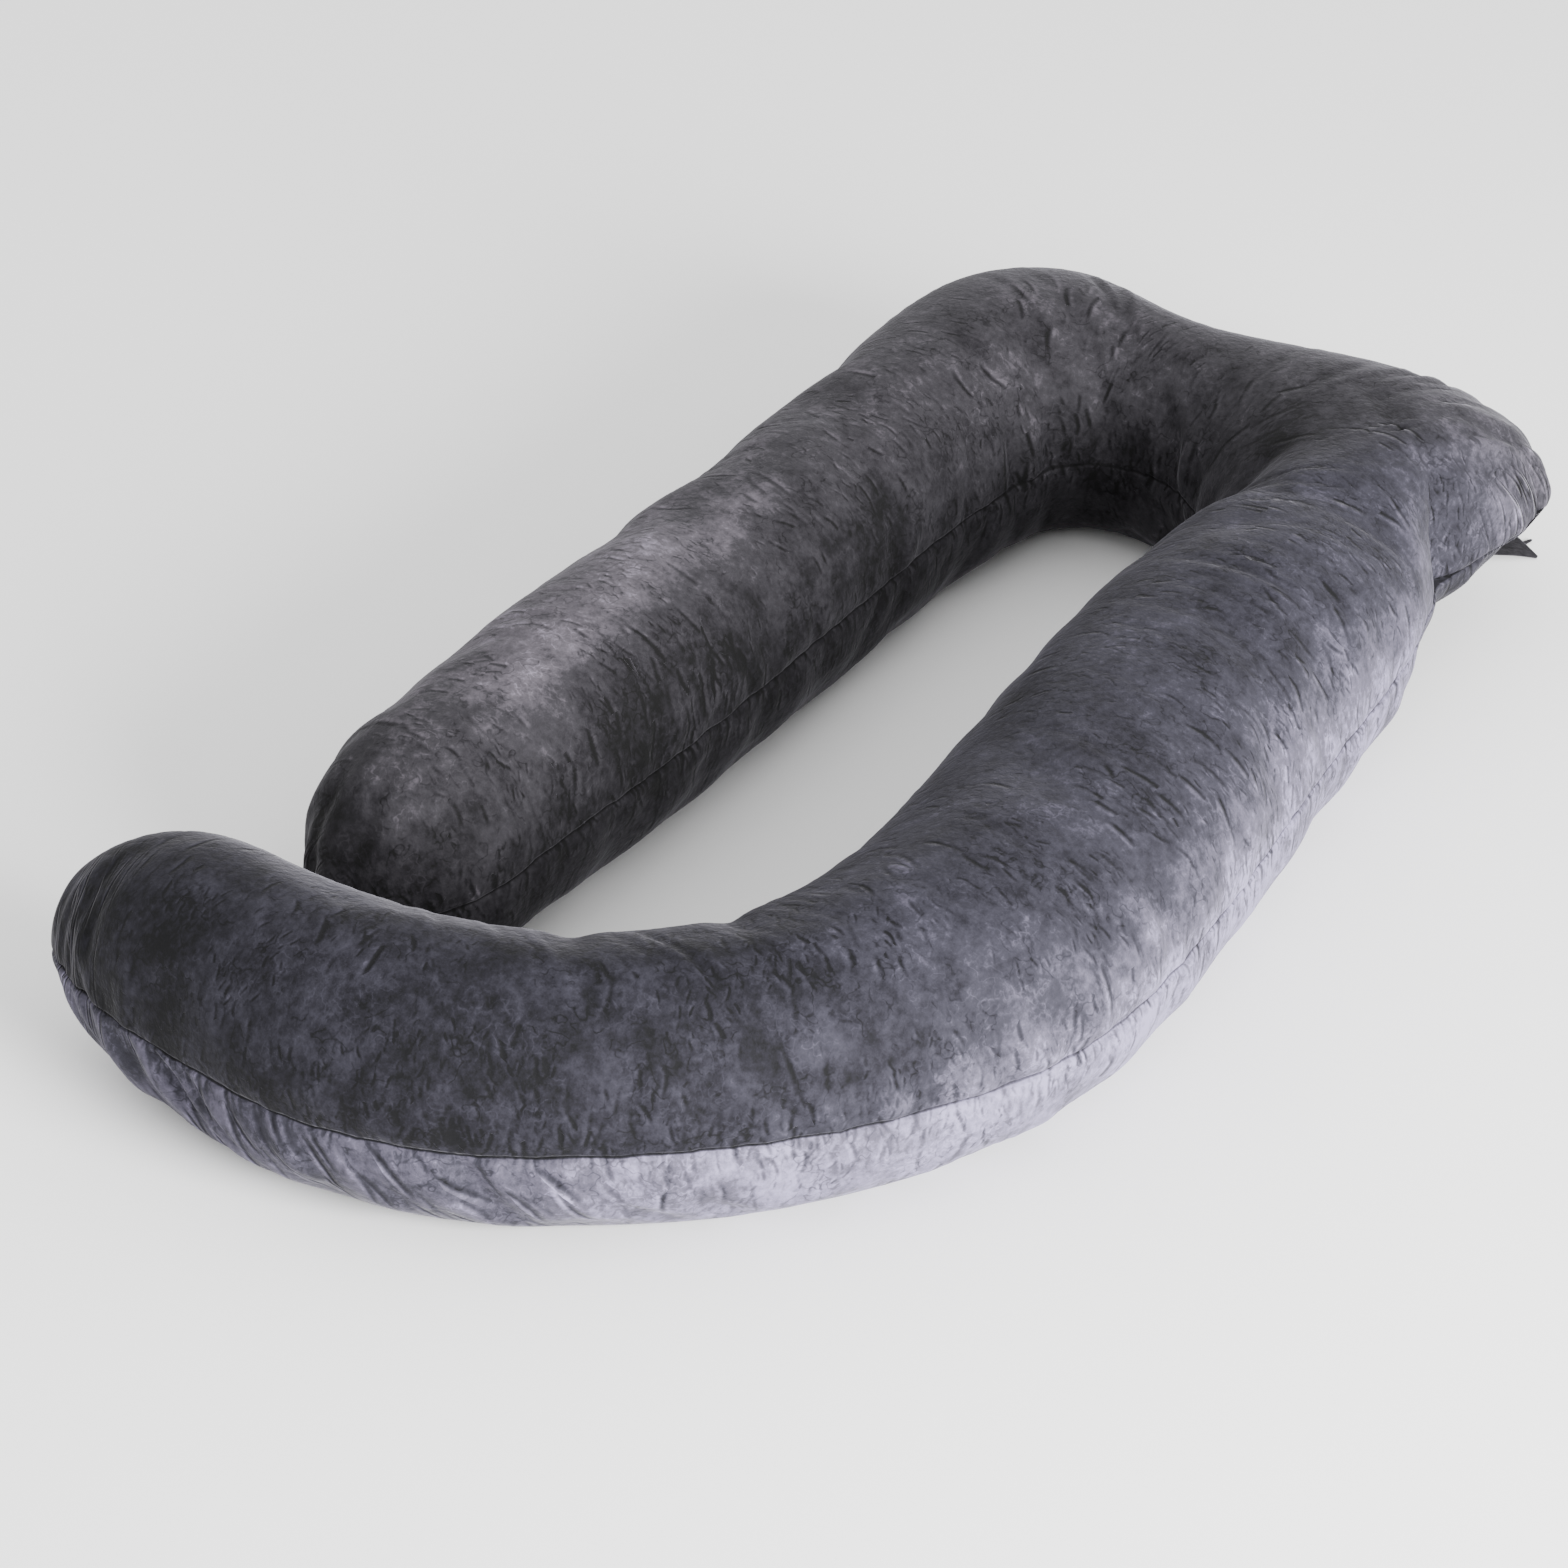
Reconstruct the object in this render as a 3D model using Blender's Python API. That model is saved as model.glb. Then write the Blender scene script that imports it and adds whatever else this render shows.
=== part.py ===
"""Full-body pregnancy pillow, lying on a flat surface.

One filled case bends round a bay: a straight back arm, a head bar with squared outer corners, and a long
front arm whose foot end curls back past the end of the back arm. Two panels are sewn together round the
whole outline, so a seam runs along the outer and the inner side of the tube. A pair of cloth tie tails
hangs from the seam at the head's outer corner.

Metres, +Z up. The back arm runs along Y, the head is at +Y, and the front arm is on the +X side.
"""

import bpy
import bmesh
import numpy as np

# Each row is one section across the filled tube, from the end of the back arm, round the head, to the
# foot end of the front arm: where the outer seam and the inner seam stand in plan, and the crown's height.
SECTION_COLUMNS = ("outer_x", "outer_y", "inner_x", "inner_y", "crown_z")
SECTIONS = (
    # back arm
    (-0.312, -0.190, -0.112, -0.215, 0.210),
    (-0.311, -0.060, -0.100, -0.070, 0.218),
    (-0.303, 0.140, -0.095, 0.140, 0.220),
    (-0.298, 0.340, -0.096, 0.335, 0.220),
    (-0.300, 0.530, -0.094, 0.500, 0.220),
    # head corner over the back arm
    (-0.306, 0.680, -0.082, 0.585, 0.222),
    (-0.280, 0.800, -0.060, 0.635, 0.224),
    (-0.205, 0.868, -0.026, 0.650, 0.220),
    # head bar
    (-0.070, 0.846, 0.022, 0.645, 0.201),
    (0.070, 0.850, 0.062, 0.618, 0.206),
    (0.185, 0.858, 0.094, 0.584, 0.213),
    # head corner over the front arm, which bulges out past a notch
    (0.288, 0.845, 0.114, 0.545, 0.215),
    (0.350, 0.792, 0.124, 0.508, 0.216),
    (0.352, 0.712, 0.127, 0.476, 0.218),
    (0.340, 0.640, 0.126, 0.445, 0.221),
    # front arm
    (0.344, 0.570, 0.122, 0.405, 0.226),
    (0.364, 0.480, 0.118, 0.350, 0.230),
    (0.378, 0.380, 0.117, 0.280, 0.232),
    (0.388, 0.270, 0.118, 0.195, 0.232),
    (0.402, 0.150, 0.122, 0.100, 0.232),
    (0.416, 0.020, 0.130, 0.000, 0.230),
    (0.424, -0.110, 0.138, -0.105, 0.228),
    # curl of the foot end
    (0.413, -0.230, 0.136, -0.208, 0.226),
    (0.362, -0.345, 0.112, -0.294, 0.222),
    (0.284, -0.449, 0.068, -0.356, 0.222),
    (0.180, -0.540, 0.008, -0.394, 0.224),
    (0.060, -0.605, -0.060, -0.408, 0.226),
    (-0.070, -0.628, -0.130, -0.408, 0.226),
    (-0.190, -0.608, -0.200, -0.400, 0.222),
)

SEAM_HEIGHT = 0.101
SECTION_POWER = 2.15  # 2 is an ellipse, and more is fuller at the shoulders
FLOOR_PRESS = 1.10  # how much deeper the underside would hang if the floor didn't flatten it

# Rounded ends: how far each tip reaches past its last section, and how far it leans to the outer side.
BACK_TIP_REACH = 0.135
BACK_TIP_LEAN = 0.018
FOOT_TIP_REACH = 0.190
FOOT_TIP_LEAN = 0.045
CROWN_ROUNDING = 0.85  # the crown falls to the tip as this power of the width
UNDERSIDE_ROUNDING = 1.30

# The head's corner over the front arm is drawn in below the seam: where, how far round it, how much.
CORNER = (0.350, 0.765)
CORNER_SPREAD = 0.11
CORNER_POWER_LOSS = 0.80

BODY_STATIONS = 142
TIP_STATIONS = 9
# Angles round the section in degrees, from the seam to the crown, closer together beside the seam.
QUARTER_ANGLES = (0.0, 5.0, 12.0, 24.0, 38.0, 54.0, 72.0)

SEAM_DEPTH = 0.006
SEAM_SPREAD = 0.085  # radians round the section

# Puckers that the sewing draws into the panels beside the seam.
PUCKER_PITCH = 0.064
PUCKER_DEPTH = 0.0028
PUCKER_REACH = 0.75  # radians from the seam
TIP_PUCKER_DEPTH = 0.0065
TIP_PUCKER_LENGTH = 0.16

# Slow unevenness of the filling: wave length along the tube, turns round it, height, phase.
LUMPS = (
    (0.62, 1, 0.0022, 0.4),
    (0.37, 2, 0.0018, 2.1),
    (0.23, 1, 0.0014, 4.0),
    (0.155, 3, 0.0010, 1.3),
)

# Folds pressed into the panels: plan start and end, depth at each, and half width.
FOLD_COLUMNS = ("from_x", "from_y", "to_x", "to_y", "from_depth", "to_depth", "half_width")
FOLDS = (
    # the valley where the front arm turns out of the head bar
    (0.352, 0.592, 0.160, 0.730, 0.024, 0.004, 0.018),
    # pleats down the head's corner end
    (0.362, 0.770, 0.290, 0.725, 0.009, 0.002, 0.012),
    (0.362, 0.715, 0.300, 0.705, 0.007, 0.001, 0.011),
    (0.335, 0.825, 0.262, 0.745, 0.007, 0.001, 0.012),
    # troughs that run into the inner corners
    (-0.058, 0.612, -0.160, 0.670, 0.009, 0.002, 0.013),
    (-0.030, 0.640, -0.105, 0.712, 0.007, 0.002, 0.012),
    (-0.082, 0.570, -0.175, 0.605, 0.006, 0.001, 0.013),
    (0.112, 0.500, 0.170, 0.600, 0.010, 0.003, 0.015),
    # the inside of the foot curl
    (0.095, -0.290, 0.190, -0.370, 0.010, 0.002, 0.016),
    (0.030, -0.370, 0.090, -0.470, 0.009, 0.002, 0.016),
    # gathers beside the foot tip
    (-0.355, -0.560, -0.285, -0.480, 0.009, 0.001, 0.011),
    (-0.318, -0.590, -0.270, -0.490, 0.009, 0.001, 0.011),
    (-0.268, -0.610, -0.250, -0.480, 0.008, 0.001, 0.012),
    # gathers at the end of the back arm
    (-0.265, -0.320, -0.240, -0.220, 0.008, 0.001, 0.012),
    (-0.212, -0.335, -0.205, -0.235, 0.008, 0.001, 0.012),
)

# Two cloth tie tails hang from the seam near the head's corner and lie on the surface, where the back
# one's point comes out from under the front one. The rows give the middle line, which way the width
# points, and the width.
TIE_THICKNESS = 0.0016
RESTING_HEIGHT = 0.0008  # middle of the cloth where a tail lies on the surface
OVERLAP_HEIGHT = 0.0046  # where the front tail passes over the back one
TIE_COLUMNS = ("x", "y", "z", "across_x", "across_y", "across_z", "width")
FRONT_TIE = (
    (0.214, 0.8562, 0.0985, 1.00, 0.00, 0.00, 0.040),
    (0.214, 0.8660, 0.0800, 1.00, -0.02, 0.00, 0.041),
    (0.215, 0.8730, 0.0500, 0.97, -0.20, 0.10, 0.042),
    (0.219, 0.8750, 0.0260, 0.80, -0.58, 0.10, 0.044),
    (0.230, 0.8750, 0.0100, 0.45, -0.89, 0.04, 0.048),
    (0.246, 0.8735, 0.0056, 0.15, -0.99, 0.00, 0.054),
    (0.264, 0.8720, OVERLAP_HEIGHT, 0.06, -1.00, 0.00, 0.058),
    (0.279, 0.8710, OVERLAP_HEIGHT, 0.04, -1.00, 0.00, 0.046),
    (0.297, 0.8700, 0.0036, 0.02, -1.00, 0.00, 0.023),
    (0.3135, 0.8695, 0.0010, 0.02, -1.00, 0.00, 0.003),
)
BACK_TIE = (
    (0.160, 0.8558, 0.0985, 1.00, 0.03, 0.00, 0.040),
    (0.160, 0.8672, 0.0800, 1.00, 0.00, 0.00, 0.040),
    (0.161, 0.8800, 0.0500, 0.98, -0.18, 0.00, 0.040),
    (0.165, 0.8860, 0.0240, 0.88, -0.48, 0.00, 0.039),
    (0.176, 0.8880, 0.0080, 0.50, -0.87, 0.00, 0.038),
    (0.194, 0.8860, RESTING_HEIGHT, 0.05, -1.00, 0.00, 0.036),
    (0.222, 0.8790, RESTING_HEIGHT, -0.15, -0.99, 0.00, 0.032),
    (0.250, 0.8740, RESTING_HEIGHT, 0.02, -1.00, 0.00, 0.024),
    (0.274, 0.8760, RESTING_HEIGHT, 0.50, -0.87, 0.00, 0.013),
    (0.289, 0.8860, RESTING_HEIGHT, 0.85, -0.53, 0.00, 0.006),
    (0.2945, 0.8990, RESTING_HEIGHT, 0.93, -0.37, 0.00, 0.002),
)
TIE_STATIONS = 26
TIE_ACROSS = 5

VELVET_COLOUR = (0.105, 0.107, 0.122, 1.0)
VELVET_ROUGHNESS = 0.85
TIE_COLOUR = (0.075, 0.076, 0.088, 1.0)


def clear_scene():
    for thing in list(bpy.data.objects):
        bpy.data.objects.remove(thing)


def natural_spline(knots, values, where):
    """Cubic through the values at the knots, with no bend at either end."""
    gaps = np.diff(knots)
    slopes = np.diff(values, axis=0) / gaps[:, None]
    size = len(knots)
    system = np.eye(size)
    right = np.zeros_like(values)
    for k in range(1, size - 1):
        system[k, k - 1 : k + 2] = (gaps[k - 1], 2 * (gaps[k - 1] + gaps[k]), gaps[k])
        right[k] = 6 * (slopes[k] - slopes[k - 1])
    bends = np.linalg.solve(system, right)
    part = np.clip(np.searchsorted(knots, where, side="right") - 1, 0, size - 2)
    gap = gaps[part][:, None]
    before = (knots[part + 1] - where)[:, None]
    after = (where - knots[part])[:, None]
    curve = (bends[part] * before**3 + bends[part + 1] * after**3) / (6 * gap)
    left = (values[part] / gap - bends[part] * gap / 6) * before
    return curve + left + (values[part + 1] / gap - bends[part + 1] * gap / 6) * after


def tip_sections(last, heading, reach, lean):
    """Sections of a rounded end: the half width falls as a cosine while the middle moves out as a sine."""
    outer, inner, crown = last[0:2], last[2:4], last[4]
    middle, half = (outer + inner) / 2, (outer - inner) / 2
    side = half / np.linalg.norm(half)
    rows = []
    for step in range(1, TIP_STATIONS + 1):
        turn = np.pi / 2 * step / TIP_STATIONS
        width = max(np.cos(turn), 0.0)
        centre = middle + heading * reach * np.sin(turn) + side * lean * (1 - width)
        rise = (crown - SEAM_HEIGHT) * width**CROWN_ROUNDING
        rows.append([*(centre + half * width), *(centre - half * width), SEAM_HEIGHT + rise, width])
    return np.array(rows)


def stations():
    """All sections from tip to tip, with the width factor in the last column, and their distance along."""
    table = np.array(SECTIONS)
    middles = (table[:, 0:2] + table[:, 2:4]) / 2
    knots = np.concatenate([[0.0], np.cumsum(np.linalg.norm(np.diff(middles, axis=0), axis=1))])
    # Stations are spaced by whichever side of the tube is the longer there.
    steps = np.diff(table, axis=0)
    longer = np.maximum(np.linalg.norm(steps[:, 0:2], axis=1), np.linalg.norm(steps[:, 2:4], axis=1))
    spread = np.concatenate([[0.0], np.cumsum(longer)])
    where = np.interp(np.linspace(0.0, spread[-1], BODY_STATIONS), spread, knots)
    body = natural_spline(knots, table, where)
    centres = (body[:, 0:2] + body[:, 2:4]) / 2
    back_way = (centres[0] - centres[1]) / np.linalg.norm(centres[0] - centres[1])
    foot_way = (centres[-1] - centres[-2]) / np.linalg.norm(centres[-1] - centres[-2])
    body = np.column_stack([body, np.ones(len(body))])
    back = tip_sections(body[0], back_way, BACK_TIP_REACH, BACK_TIP_LEAN)[::-1]
    foot = tip_sections(body[-1], foot_way, FOOT_TIP_REACH, FOOT_TIP_LEAN)
    rows = np.vstack([back, body, foot])
    centres = (rows[:, 0:2] + rows[:, 2:4]) / 2
    along = np.concatenate([[0.0], np.cumsum(np.linalg.norm(np.diff(centres, axis=0), axis=1))])
    return rows, along


def section_angles():
    """Angles round a section in radians: 0 is the outer seam, a quarter turn the crown, half the inner seam."""
    quarter = np.array(QUARTER_ANGLES)
    half = np.concatenate([quarter, [90.0], 180.0 - quarter[:0:-1]])
    return np.radians(np.concatenate([half, 180.0 + half]))


def signed_power(value, power):
    return np.sign(value) * np.abs(value) ** power


def seam_distance(angles):
    """Angle from the nearer of the two seams."""
    turned = np.mod(angles, np.pi)
    return np.minimum(turned, np.pi - turned)


def fold_depth(plan, bottom):
    """Depth of the pressed folds at each plan point. A fold is soft across and fades past its ends."""
    depth = np.zeros(plan.shape[:-1])
    for from_x, from_y, to_x, to_y, from_depth, to_depth, half_width in FOLDS:
        start, way = np.array((from_x, from_y)), np.array((to_x - from_x, to_y - from_y))
        share = ((plan - start) @ way) / (way @ way)
        held = np.clip(share, 0.0, 1.0)
        away = np.linalg.norm(plan - start - held[..., None] * way, axis=-1)
        deep = from_depth + (to_depth - from_depth) * held
        depth += deep * np.exp(-((away / half_width) ** 2))
    return np.where(bottom, 0.35 * depth, depth)


def relief(along, length, angles, plan, bottom):
    """How far the surface stands out from the smooth tube: lumps, less the seam, puckers and folds."""
    s, a = along[:, None], angles[None, :]
    lumps = sum(
        height * np.cos(2 * np.pi * s / wave + phase + turns * a) for wave, turns, height, phase in LUMPS
    )
    from_seam = seam_distance(angles)[None, :]
    seam = SEAM_DEPTH * np.exp(-((from_seam / SEAM_SPREAD) ** 2))
    to_tip = np.minimum(s, length - s)
    strength = PUCKER_DEPTH + TIP_PUCKER_DEPTH * np.exp(-((to_tip / TIP_PUCKER_LENGTH) ** 2))
    wander = 0.9 * np.sin(2 * np.pi * s / 0.41) + 0.6 * np.sin(2 * np.pi * s / 0.173)
    beat = 0.5 + 0.5 * np.cos(2 * np.pi * s / PUCKER_PITCH + wander + 1.1 * np.cos(a))
    puckers = strength * beat * np.exp(-from_seam / PUCKER_REACH) * (1 - np.exp(-from_seam / 0.06))
    return lumps - seam - puckers - fold_depth(plan, bottom)


def pillow_points():
    """Grid of surface points, a row for each station, and the two tip points."""
    rows, along = stations()
    angles = section_angles()
    outer, inner, crown, width = rows[:, 0:2], rows[:, 2:4], rows[:, 4], rows[:, 5]
    from_corner = np.linalg.norm(outer - np.array(CORNER), axis=1)[:, None]
    loss = CORNER_POWER_LOSS * np.exp(-((from_corner / CORNER_SPREAD) ** 2))
    lower_outer = (np.cos(angles) > 0) & (np.sin(angles) < 0)
    power = SECTION_POWER - np.where(lower_outer[None, :], loss, 0.0)
    across = signed_power(np.cos(angles)[None, :], 2 / power)
    height = signed_power(np.sin(angles)[None, :], 2 / power)
    middle, half = (outer + inner) / 2, (outer - inner) / 2
    reach = np.linalg.norm(half, axis=1)
    side = half / np.maximum(reach, 1e-9)[:, None]
    side[0], side[-1] = side[1], side[-2]

    plan = middle[:, None, :] + half[:, None, :] * across[..., None]
    bottom = height < -1e-9
    out = relief(along, along[-1], angles, plan, bottom) * np.minimum(1.0, 1.6 * width)[:, None]
    # The relief moves a point the way an ellipse of this section faces.
    rise = np.maximum(crown - SEAM_HEIGHT, 1e-4)
    facing = np.stack(
        [np.cos(angles)[None, :] * rise[:, None], np.sin(angles)[None, :] * np.maximum(reach, 1e-4)[:, None]], -1
    )
    facing /= np.linalg.norm(facing, axis=-1, keepdims=True)
    plan = plan + side[:, None, :] * (facing[..., 0] * out)[..., None]
    top = (crown - SEAM_HEIGHT)[:, None] * np.clip(height, 0, None)
    drop = SEAM_HEIGHT * FLOOR_PRESS * (width**UNDERSIDE_ROUNDING)[:, None] * np.clip(-height, 0, None)
    z = np.maximum(SEAM_HEIGHT + top - drop + facing[..., 1] * out, 0.0)
    return np.concatenate([plan, z[..., None]], axis=-1)


def close_tube(points):
    """Vertices and faces of a tube of rings whose first and last rings shrink to one point each."""
    rings, around = points.shape[0] - 2, points.shape[1]
    tips = np.stack([points[0].mean(axis=0), points[-1].mean(axis=0)])
    vertices = np.vstack([points[1:-1].reshape(-1, 3), tips])
    faces = []
    for ring in range(rings - 1):
        for k in range(around):
            here, there = ring * around, (ring + 1) * around
            nxt = (k + 1) % around
            faces.append((here + k, here + nxt, there + nxt, there + k))
    first, last = rings * around, rings * around + 1
    for k in range(around):
        nxt = (k + 1) % around
        faces.append((first, nxt, k))
        faces.append((last, (rings - 1) * around + k, (rings - 1) * around + nxt))
    return vertices, faces


def material(name, colour, roughness):
    made = bpy.data.materials.new(name)
    made.use_nodes = True
    shader = made.node_tree.nodes["Principled BSDF"]
    shader.inputs["Base Color"].default_value = colour
    shader.inputs["Roughness"].default_value = roughness
    return made


def add_object(name, vertices, faces, finish):
    mesh = bpy.data.meshes.new(name)
    mesh.from_pydata([tuple(map(float, v)) for v in vertices], [], faces)
    work = bmesh.new()
    work.from_mesh(mesh)
    bmesh.ops.recalc_face_normals(work, faces=work.faces)
    work.to_mesh(mesh)
    work.free()
    mesh.shade_smooth()
    mesh.materials.append(finish)
    made = bpy.data.objects.new(name, mesh)
    bpy.context.scene.collection.objects.link(made)
    return made


def add_pillow(finish):
    vertices, faces = close_tube(pillow_points())
    return add_object("pillow", vertices, faces, finish)


def add_tie(name, table, finish):
    """A flat strip along its middle line, tapering to a point, and given its thickness by Solidify."""
    path = np.array(table)
    knots = np.concatenate([[0.0], np.cumsum(np.linalg.norm(np.diff(path[:, :3], axis=0), axis=1))])
    line = natural_spline(knots, path, np.linspace(0.0, knots[-1], TIE_STATIONS))
    across = line[:, 3:6] / np.linalg.norm(line[:, 3:6], axis=1, keepdims=True)
    shares = np.linspace(-0.5, 0.5, TIE_ACROSS)
    offsets = across[:, None, :] * (line[:, 6:7] * shares[None, :])[..., None]
    points = line[:, None, :3] + offsets
    points[..., 2] = np.maximum(points[..., 2], RESTING_HEIGHT)
    faces = []
    for row in range(TIE_STATIONS - 1):
        for k in range(TIE_ACROSS - 1):
            corner = row * TIE_ACROSS + k
            faces.append((corner, corner + 1, corner + TIE_ACROSS + 1, corner + TIE_ACROSS))
    tie = add_object(name, points.reshape(-1, 3), faces, finish)
    wall = tie.modifiers.new("cloth thickness", "SOLIDIFY")
    wall.thickness = TIE_THICKNESS
    wall.offset = 0.0
    return tie


def centre_on_base(things):
    """Parents everything to an empty that brings the middle of the outline in plan to the origin."""
    graph = bpy.context.evaluated_depsgraph_get()
    corners = []
    for thing in things:
        corners += [vertex.co[:] for vertex in thing.evaluated_get(graph).data.vertices]
    middle = (np.min(corners, axis=0) + np.max(corners, axis=0)) / 2
    frame = bpy.data.objects.new("base_centre", None)
    frame.location = (-middle[0], -middle[1], 0.0)
    bpy.context.scene.collection.objects.link(frame)
    for thing in things:
        thing.parent = frame
    print("middle of the outline in the tables' frame:", round(middle[0], 5), round(middle[1], 5))


def main():
    clear_scene()
    velvet = material("velvet", VELVET_COLOUR, VELVET_ROUGHNESS)
    tie_cloth = material("tie velvet", TIE_COLOUR, VELVET_ROUGHNESS)
    things = [
        add_pillow(velvet),
        add_tie("tie_front", FRONT_TIE, tie_cloth),
        add_tie("tie_back", BACK_TIE, tie_cloth),
    ]
    centre_on_base(things)


main()
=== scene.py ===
"""Full-body pregnancy pillow in crushed velvet, lying on a pale studio floor.

The pillow is one filled tube bent round a bay, with a sewn seam along its outer and its inner side. Its
surface is worked out from a table of sections, swelled by a short cloth simulation, and then gathered at
the seams. Two velvet tie tails hang from the seam at the head's corner.
"""

import math
from functools import partial

import bpy
import numpy as np
from bpy.props import FloatProperty, FloatVectorProperty, PointerProperty
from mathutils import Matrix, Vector


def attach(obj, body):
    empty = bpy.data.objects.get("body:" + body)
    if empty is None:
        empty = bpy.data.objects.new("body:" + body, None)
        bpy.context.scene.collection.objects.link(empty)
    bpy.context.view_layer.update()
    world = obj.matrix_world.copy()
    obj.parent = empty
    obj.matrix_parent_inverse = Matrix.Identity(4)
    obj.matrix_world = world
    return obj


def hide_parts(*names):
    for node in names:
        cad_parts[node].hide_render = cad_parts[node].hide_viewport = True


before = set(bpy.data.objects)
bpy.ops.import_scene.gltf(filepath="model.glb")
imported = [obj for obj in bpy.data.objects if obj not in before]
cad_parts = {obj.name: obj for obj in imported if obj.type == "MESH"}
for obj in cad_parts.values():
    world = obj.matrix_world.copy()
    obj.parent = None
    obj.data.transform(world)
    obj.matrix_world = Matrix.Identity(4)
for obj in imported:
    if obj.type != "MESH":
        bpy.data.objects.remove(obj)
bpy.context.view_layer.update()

bl_info = {
    "name": "Velvet body pillow",
    "version": (1, 0, 0),
    "blender": (4, 5, 0),
    "location": "3D View > Sidebar > Body Pillow",
    "description": "Builds a crushed-velvet body pillow with its tie tails and a studio floor",
    "category": "Add Mesh",
}

# Sections across the filled tube, from the back arm's end round the head to the foot end: x and y of the
# outer seam, x and y of the inner seam, and the crown's height, in metres.
SECTIONS = (
    (-0.312, -0.190, -0.112, -0.215, 0.210),
    (-0.311, -0.060, -0.100, -0.070, 0.218),
    (-0.303, 0.140, -0.095, 0.140, 0.220),
    (-0.298, 0.340, -0.096, 0.335, 0.220),
    (-0.300, 0.530, -0.094, 0.500, 0.220),
    (-0.306, 0.680, -0.082, 0.585, 0.222),
    (-0.280, 0.800, -0.060, 0.635, 0.224),
    (-0.205, 0.868, -0.026, 0.650, 0.216),
    (-0.070, 0.846, 0.022, 0.645, 0.207),
    (0.070, 0.850, 0.062, 0.618, 0.206),
    (0.185, 0.858, 0.094, 0.584, 0.213),
    (0.288, 0.845, 0.114, 0.545, 0.215),
    (0.350, 0.792, 0.124, 0.508, 0.216),
    (0.352, 0.712, 0.127, 0.476, 0.218),
    (0.340, 0.640, 0.126, 0.445, 0.221),
    (0.344, 0.570, 0.122, 0.405, 0.226),
    (0.364, 0.480, 0.118, 0.350, 0.230),
    (0.378, 0.380, 0.117, 0.280, 0.232),
    (0.388, 0.270, 0.118, 0.195, 0.232),
    (0.402, 0.150, 0.122, 0.100, 0.232),
    (0.416, 0.020, 0.130, 0.000, 0.230),
    (0.424, -0.110, 0.138, -0.105, 0.228),
    (0.413, -0.230, 0.136, -0.208, 0.226),
    (0.362, -0.345, 0.112, -0.294, 0.222),
    (0.284, -0.449, 0.068, -0.356, 0.222),
    (0.180, -0.540, 0.008, -0.394, 0.224),
    (0.060, -0.605, -0.060, -0.408, 0.226),
    (-0.070, -0.628, -0.130, -0.408, 0.226),
    (-0.190, -0.608, -0.200, -0.400, 0.222),
)
OUTLINE_MIDDLE = np.array((0.02072, 0.13906))  # where the tables' frame has the part's own origin

SEAM_HEIGHT = 0.101
SECTION_POWER = 2.15  # of the superellipse that a section is
FLOOR_PRESS = 1.10  # how far a round underside would sink into the floor, which flattens it
BACK_TIP_REACH, BACK_TIP_LEAN = 0.135, 0.018
FOOT_TIP_REACH, FOOT_TIP_LEAN = 0.190, 0.045
CROWN_ROUNDING, UNDERSIDE_ROUNDING = 0.85, 1.30  # powers of the width factor in a rounded end
# Round the head's outer corner the lower panel draws in under the seam: the power falls there by this.
CORNER, CORNER_SPREAD, CORNER_POWER_LOSS = (0.350, 0.755), 0.18, 1.30
BACK_SEAM_DROP, BACK_SEAM_REACH = 0.028, 0.15  # the seam dips round the back arm's end

# The groove at a seam, as shares of its depth and half widths: a sharp line in a soft hollow.
SEAM_GROOVE = ((0.65, 0.0022), (0.35, 0.0100))
# Pleats pull the seam up and down: by how much, over what length along it, and the noise's seed.
SEAM_WAVER = ((0.0014, 0.028, 12), (0.0008, 0.012, 13))
SEAM_WAVER_REACH = 0.020
CRINKLE_START = 0.008  # the crushed creases rise to their depth over this distance from a seam
FLOOR_CLEAR, FLOOR_FADE = 0.001, 0.030  # relief on the lower panel dies away between these heights
TIP_RELIEF = 2.2  # relief is whole where a rounded end's width factor is over one part in this

# Grids: body stations, stations in each rounded end, and points round a section.
FINE_GRID = (476, 60, 160)
CLOTH_GRID = (238, 14, 80)
SEAM_CROWDING = 0.38  # how much closer together the points stand beside the seams
LOWER_PANEL_SHIFT = 3.0  # metres between the two panels' patterns, so that they don't share one

# The simulated case: how far inside the pattern it starts, in swell limits; up to which height the floor
# holds it, and how strongly; its last frame; how often its swell is smoothed along the tube; and over which
# distance from a tip it fades.
CLOTH_INSET = 0.4
CLOTH_FLOOR_HEIGHT, CLOTH_FLOOR_HOLD = 0.004, 0.9
CLOTH_LAST_FRAME = 18
CLOTH_SMOOTHING = 3
CLOTH_TIP_FADE = 0.22

LOWER_FOLD_SHARE = 0.35  # of a fold's depth on the lower panel
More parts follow.
